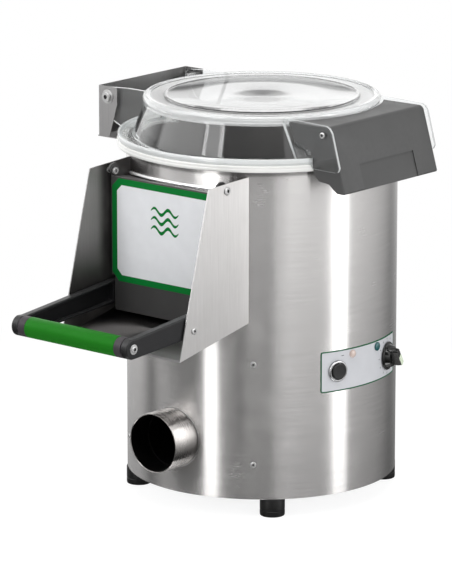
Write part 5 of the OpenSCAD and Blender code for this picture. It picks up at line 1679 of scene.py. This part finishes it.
cap = {
    "angle": 73.1, "z": 202.0,
    "profile": [
        (7.9, -14), (8.0, -13.8), (8.0, 4.3), (11.2, 4.4), (11.2, 6.4), (11.0, 7.0), (10.5, 7.4), (9.7, 7.5),
        (9.2, 7.4), (6.0, 7.25), (0.5, 7.2)],
}


def makeCap(v):
    bm = bmesh.new()
    addLathe(bm, v["profile"], 72, onShell(v["angle"], v["z"]), closed=False)
    finishPiece("buttonCap", bm, 35, ("button_black",), "button_black", "start_button", "button_cap")


lenses = {
    "lamp_white": {"name": "lensWhite", "angle": 81.0, "z": 222.5, "radius": 5.5, "dome": 2.6},
    "lamp_green": {"name": "lensGreen", "angle": 97.0, "z": 222.5, "radius": 6.2, "dome": 1.6},
}


def makeLens(node, v):
    # a stem through the panel, a flat ring on it and a dome
    r, dome = v["radius"], v["dome"]
    profile = [(3.9, -16), (4.0, -15.7), (4.0, 0.75), (r, 0.75), (r, 1.9), (r - 0.35, 2.3), (r - 0.7, 2.2)]
    for k in range(1, 9):
        a = math.radians(90 * k / 8)
        profile.append(((r - 0.7) * math.cos(a) + 0.15, 2.2 + dome * math.sin(a)))
    bm = bmesh.new()
    addLathe(bm, profile, 48, onShell(v["angle"], v["z"]), closed=False)
    finishPiece(v["name"], bm, 40, (node,), node, "body", node)


knob = {
    "angle": 106.6, "z": 202.0, "tilt": 38.0,
    "base": [
        (2.9, -28), (3.0, -27.7), (3.0, 1.0), (19.6, 1.0), (20.0, 1.4), (20.0, 2.6), (19.5, 3.3), (18.2, 3.5),
        (17.4, 3.6), (16.7, 3.9), (16.3, 4.7), (14.5, 9.9), (13.9, 10.6), (12.9, 10.8), (0.5, 10.8)],
    "barHalf": 16.5, "barWide": 9.0, "barLow": 3.4, "barHigh": 21.0,
    "taper": (0.7, 1.2, 6.0),  # taken off the bar's sides and ends over its top part
    "pointer": (14.6, 3.7, 0.25),  # length, half width and how far it stands proud
}


def makeKnob(v):
    spot = onShell(v["angle"], v["z"])
    bm = bmesh.new()
    addLathe(bm, v["base"], 72, spot, closed=False)
    finishPiece("knobSkirt", bm, 35, ("knob_black",), "knob_black", "timer_knob", "timer_knob")
    turned = spot @ Matrix.Rotation(math.radians(v["tilt"]), 4, "Z")
    w, h, top = v["barWide"] / 2, v["barHalf"], v["barHigh"]
    sides, ends, fall = v["taper"]
    outline = roundCorners(boxOutline(-w, w, -h, h), 3.2)
    slim = roundCorners(boxOutline(-w + sides, w - sides, -h + ends, h - ends), 2.6)
    levels = ((outline, v["barLow"]), (outline, top - fall), (slim, top))
    bm = bmesh.new()
    addRings(bm, [[(x, y, z) for x, y in shape] for shape, z in levels], turned)
    piece = meshPiece("knobBar", bm)
    roundEdges(piece, 0.6, 3, 40)
    place(piece, ("knob_black",), "knob_black", "timer_knob")
    long, wide, lift = v["pointer"]
    bm = bmesh.new()
    patch = roundCorners(boxOutline(-wide, wide, -long, long * 0.2), 1.5, 5)
    addPrism(bm, patch, top - 0.3, top + lift, "z", turned)
    finishPiece("knobPointer", bm, 30, ("pointer_pale",), "knob_black", "timer_knob")


makePanel(panel)
makeDialMarks(dial)
makeBezel(bezel)
makeCap(cap)
for node, values in lenses.items():
    makeLens(node, values)
makeKnob(knob)
print("control panel made")


# finish of the frame's own nodes

softened = {
    "door_back": 0.3, "door_frame": 0.2, "cable_gland": 0.4, "water_valve": 0.5, "base_plate": 0.3,
    "control_box": 1.0, "contact_block": 0.6, "timer_body": 0.6, "motor_body": 0.5, "lid_sensor": 0.5,
}
for name, width in softened.items():
    weld = nodes[name].modifiers.new("weld", "WELD")
    weld.merge_threshold = 1e-5
    bevel = nodes[name].modifiers.new("softEdges", "BEVEL")
    bevel.width = width * mm
    bevel.segments = 2
    bevel.limit_method = "ANGLE"
    bevel.angle_limit = math.radians(40)
# painted shade: the elbow's inside gets the near-black steel
nodes["drain_elbow"].data.materials[0] = finishes["shade_black_steel"]
print("frame nodes finished")
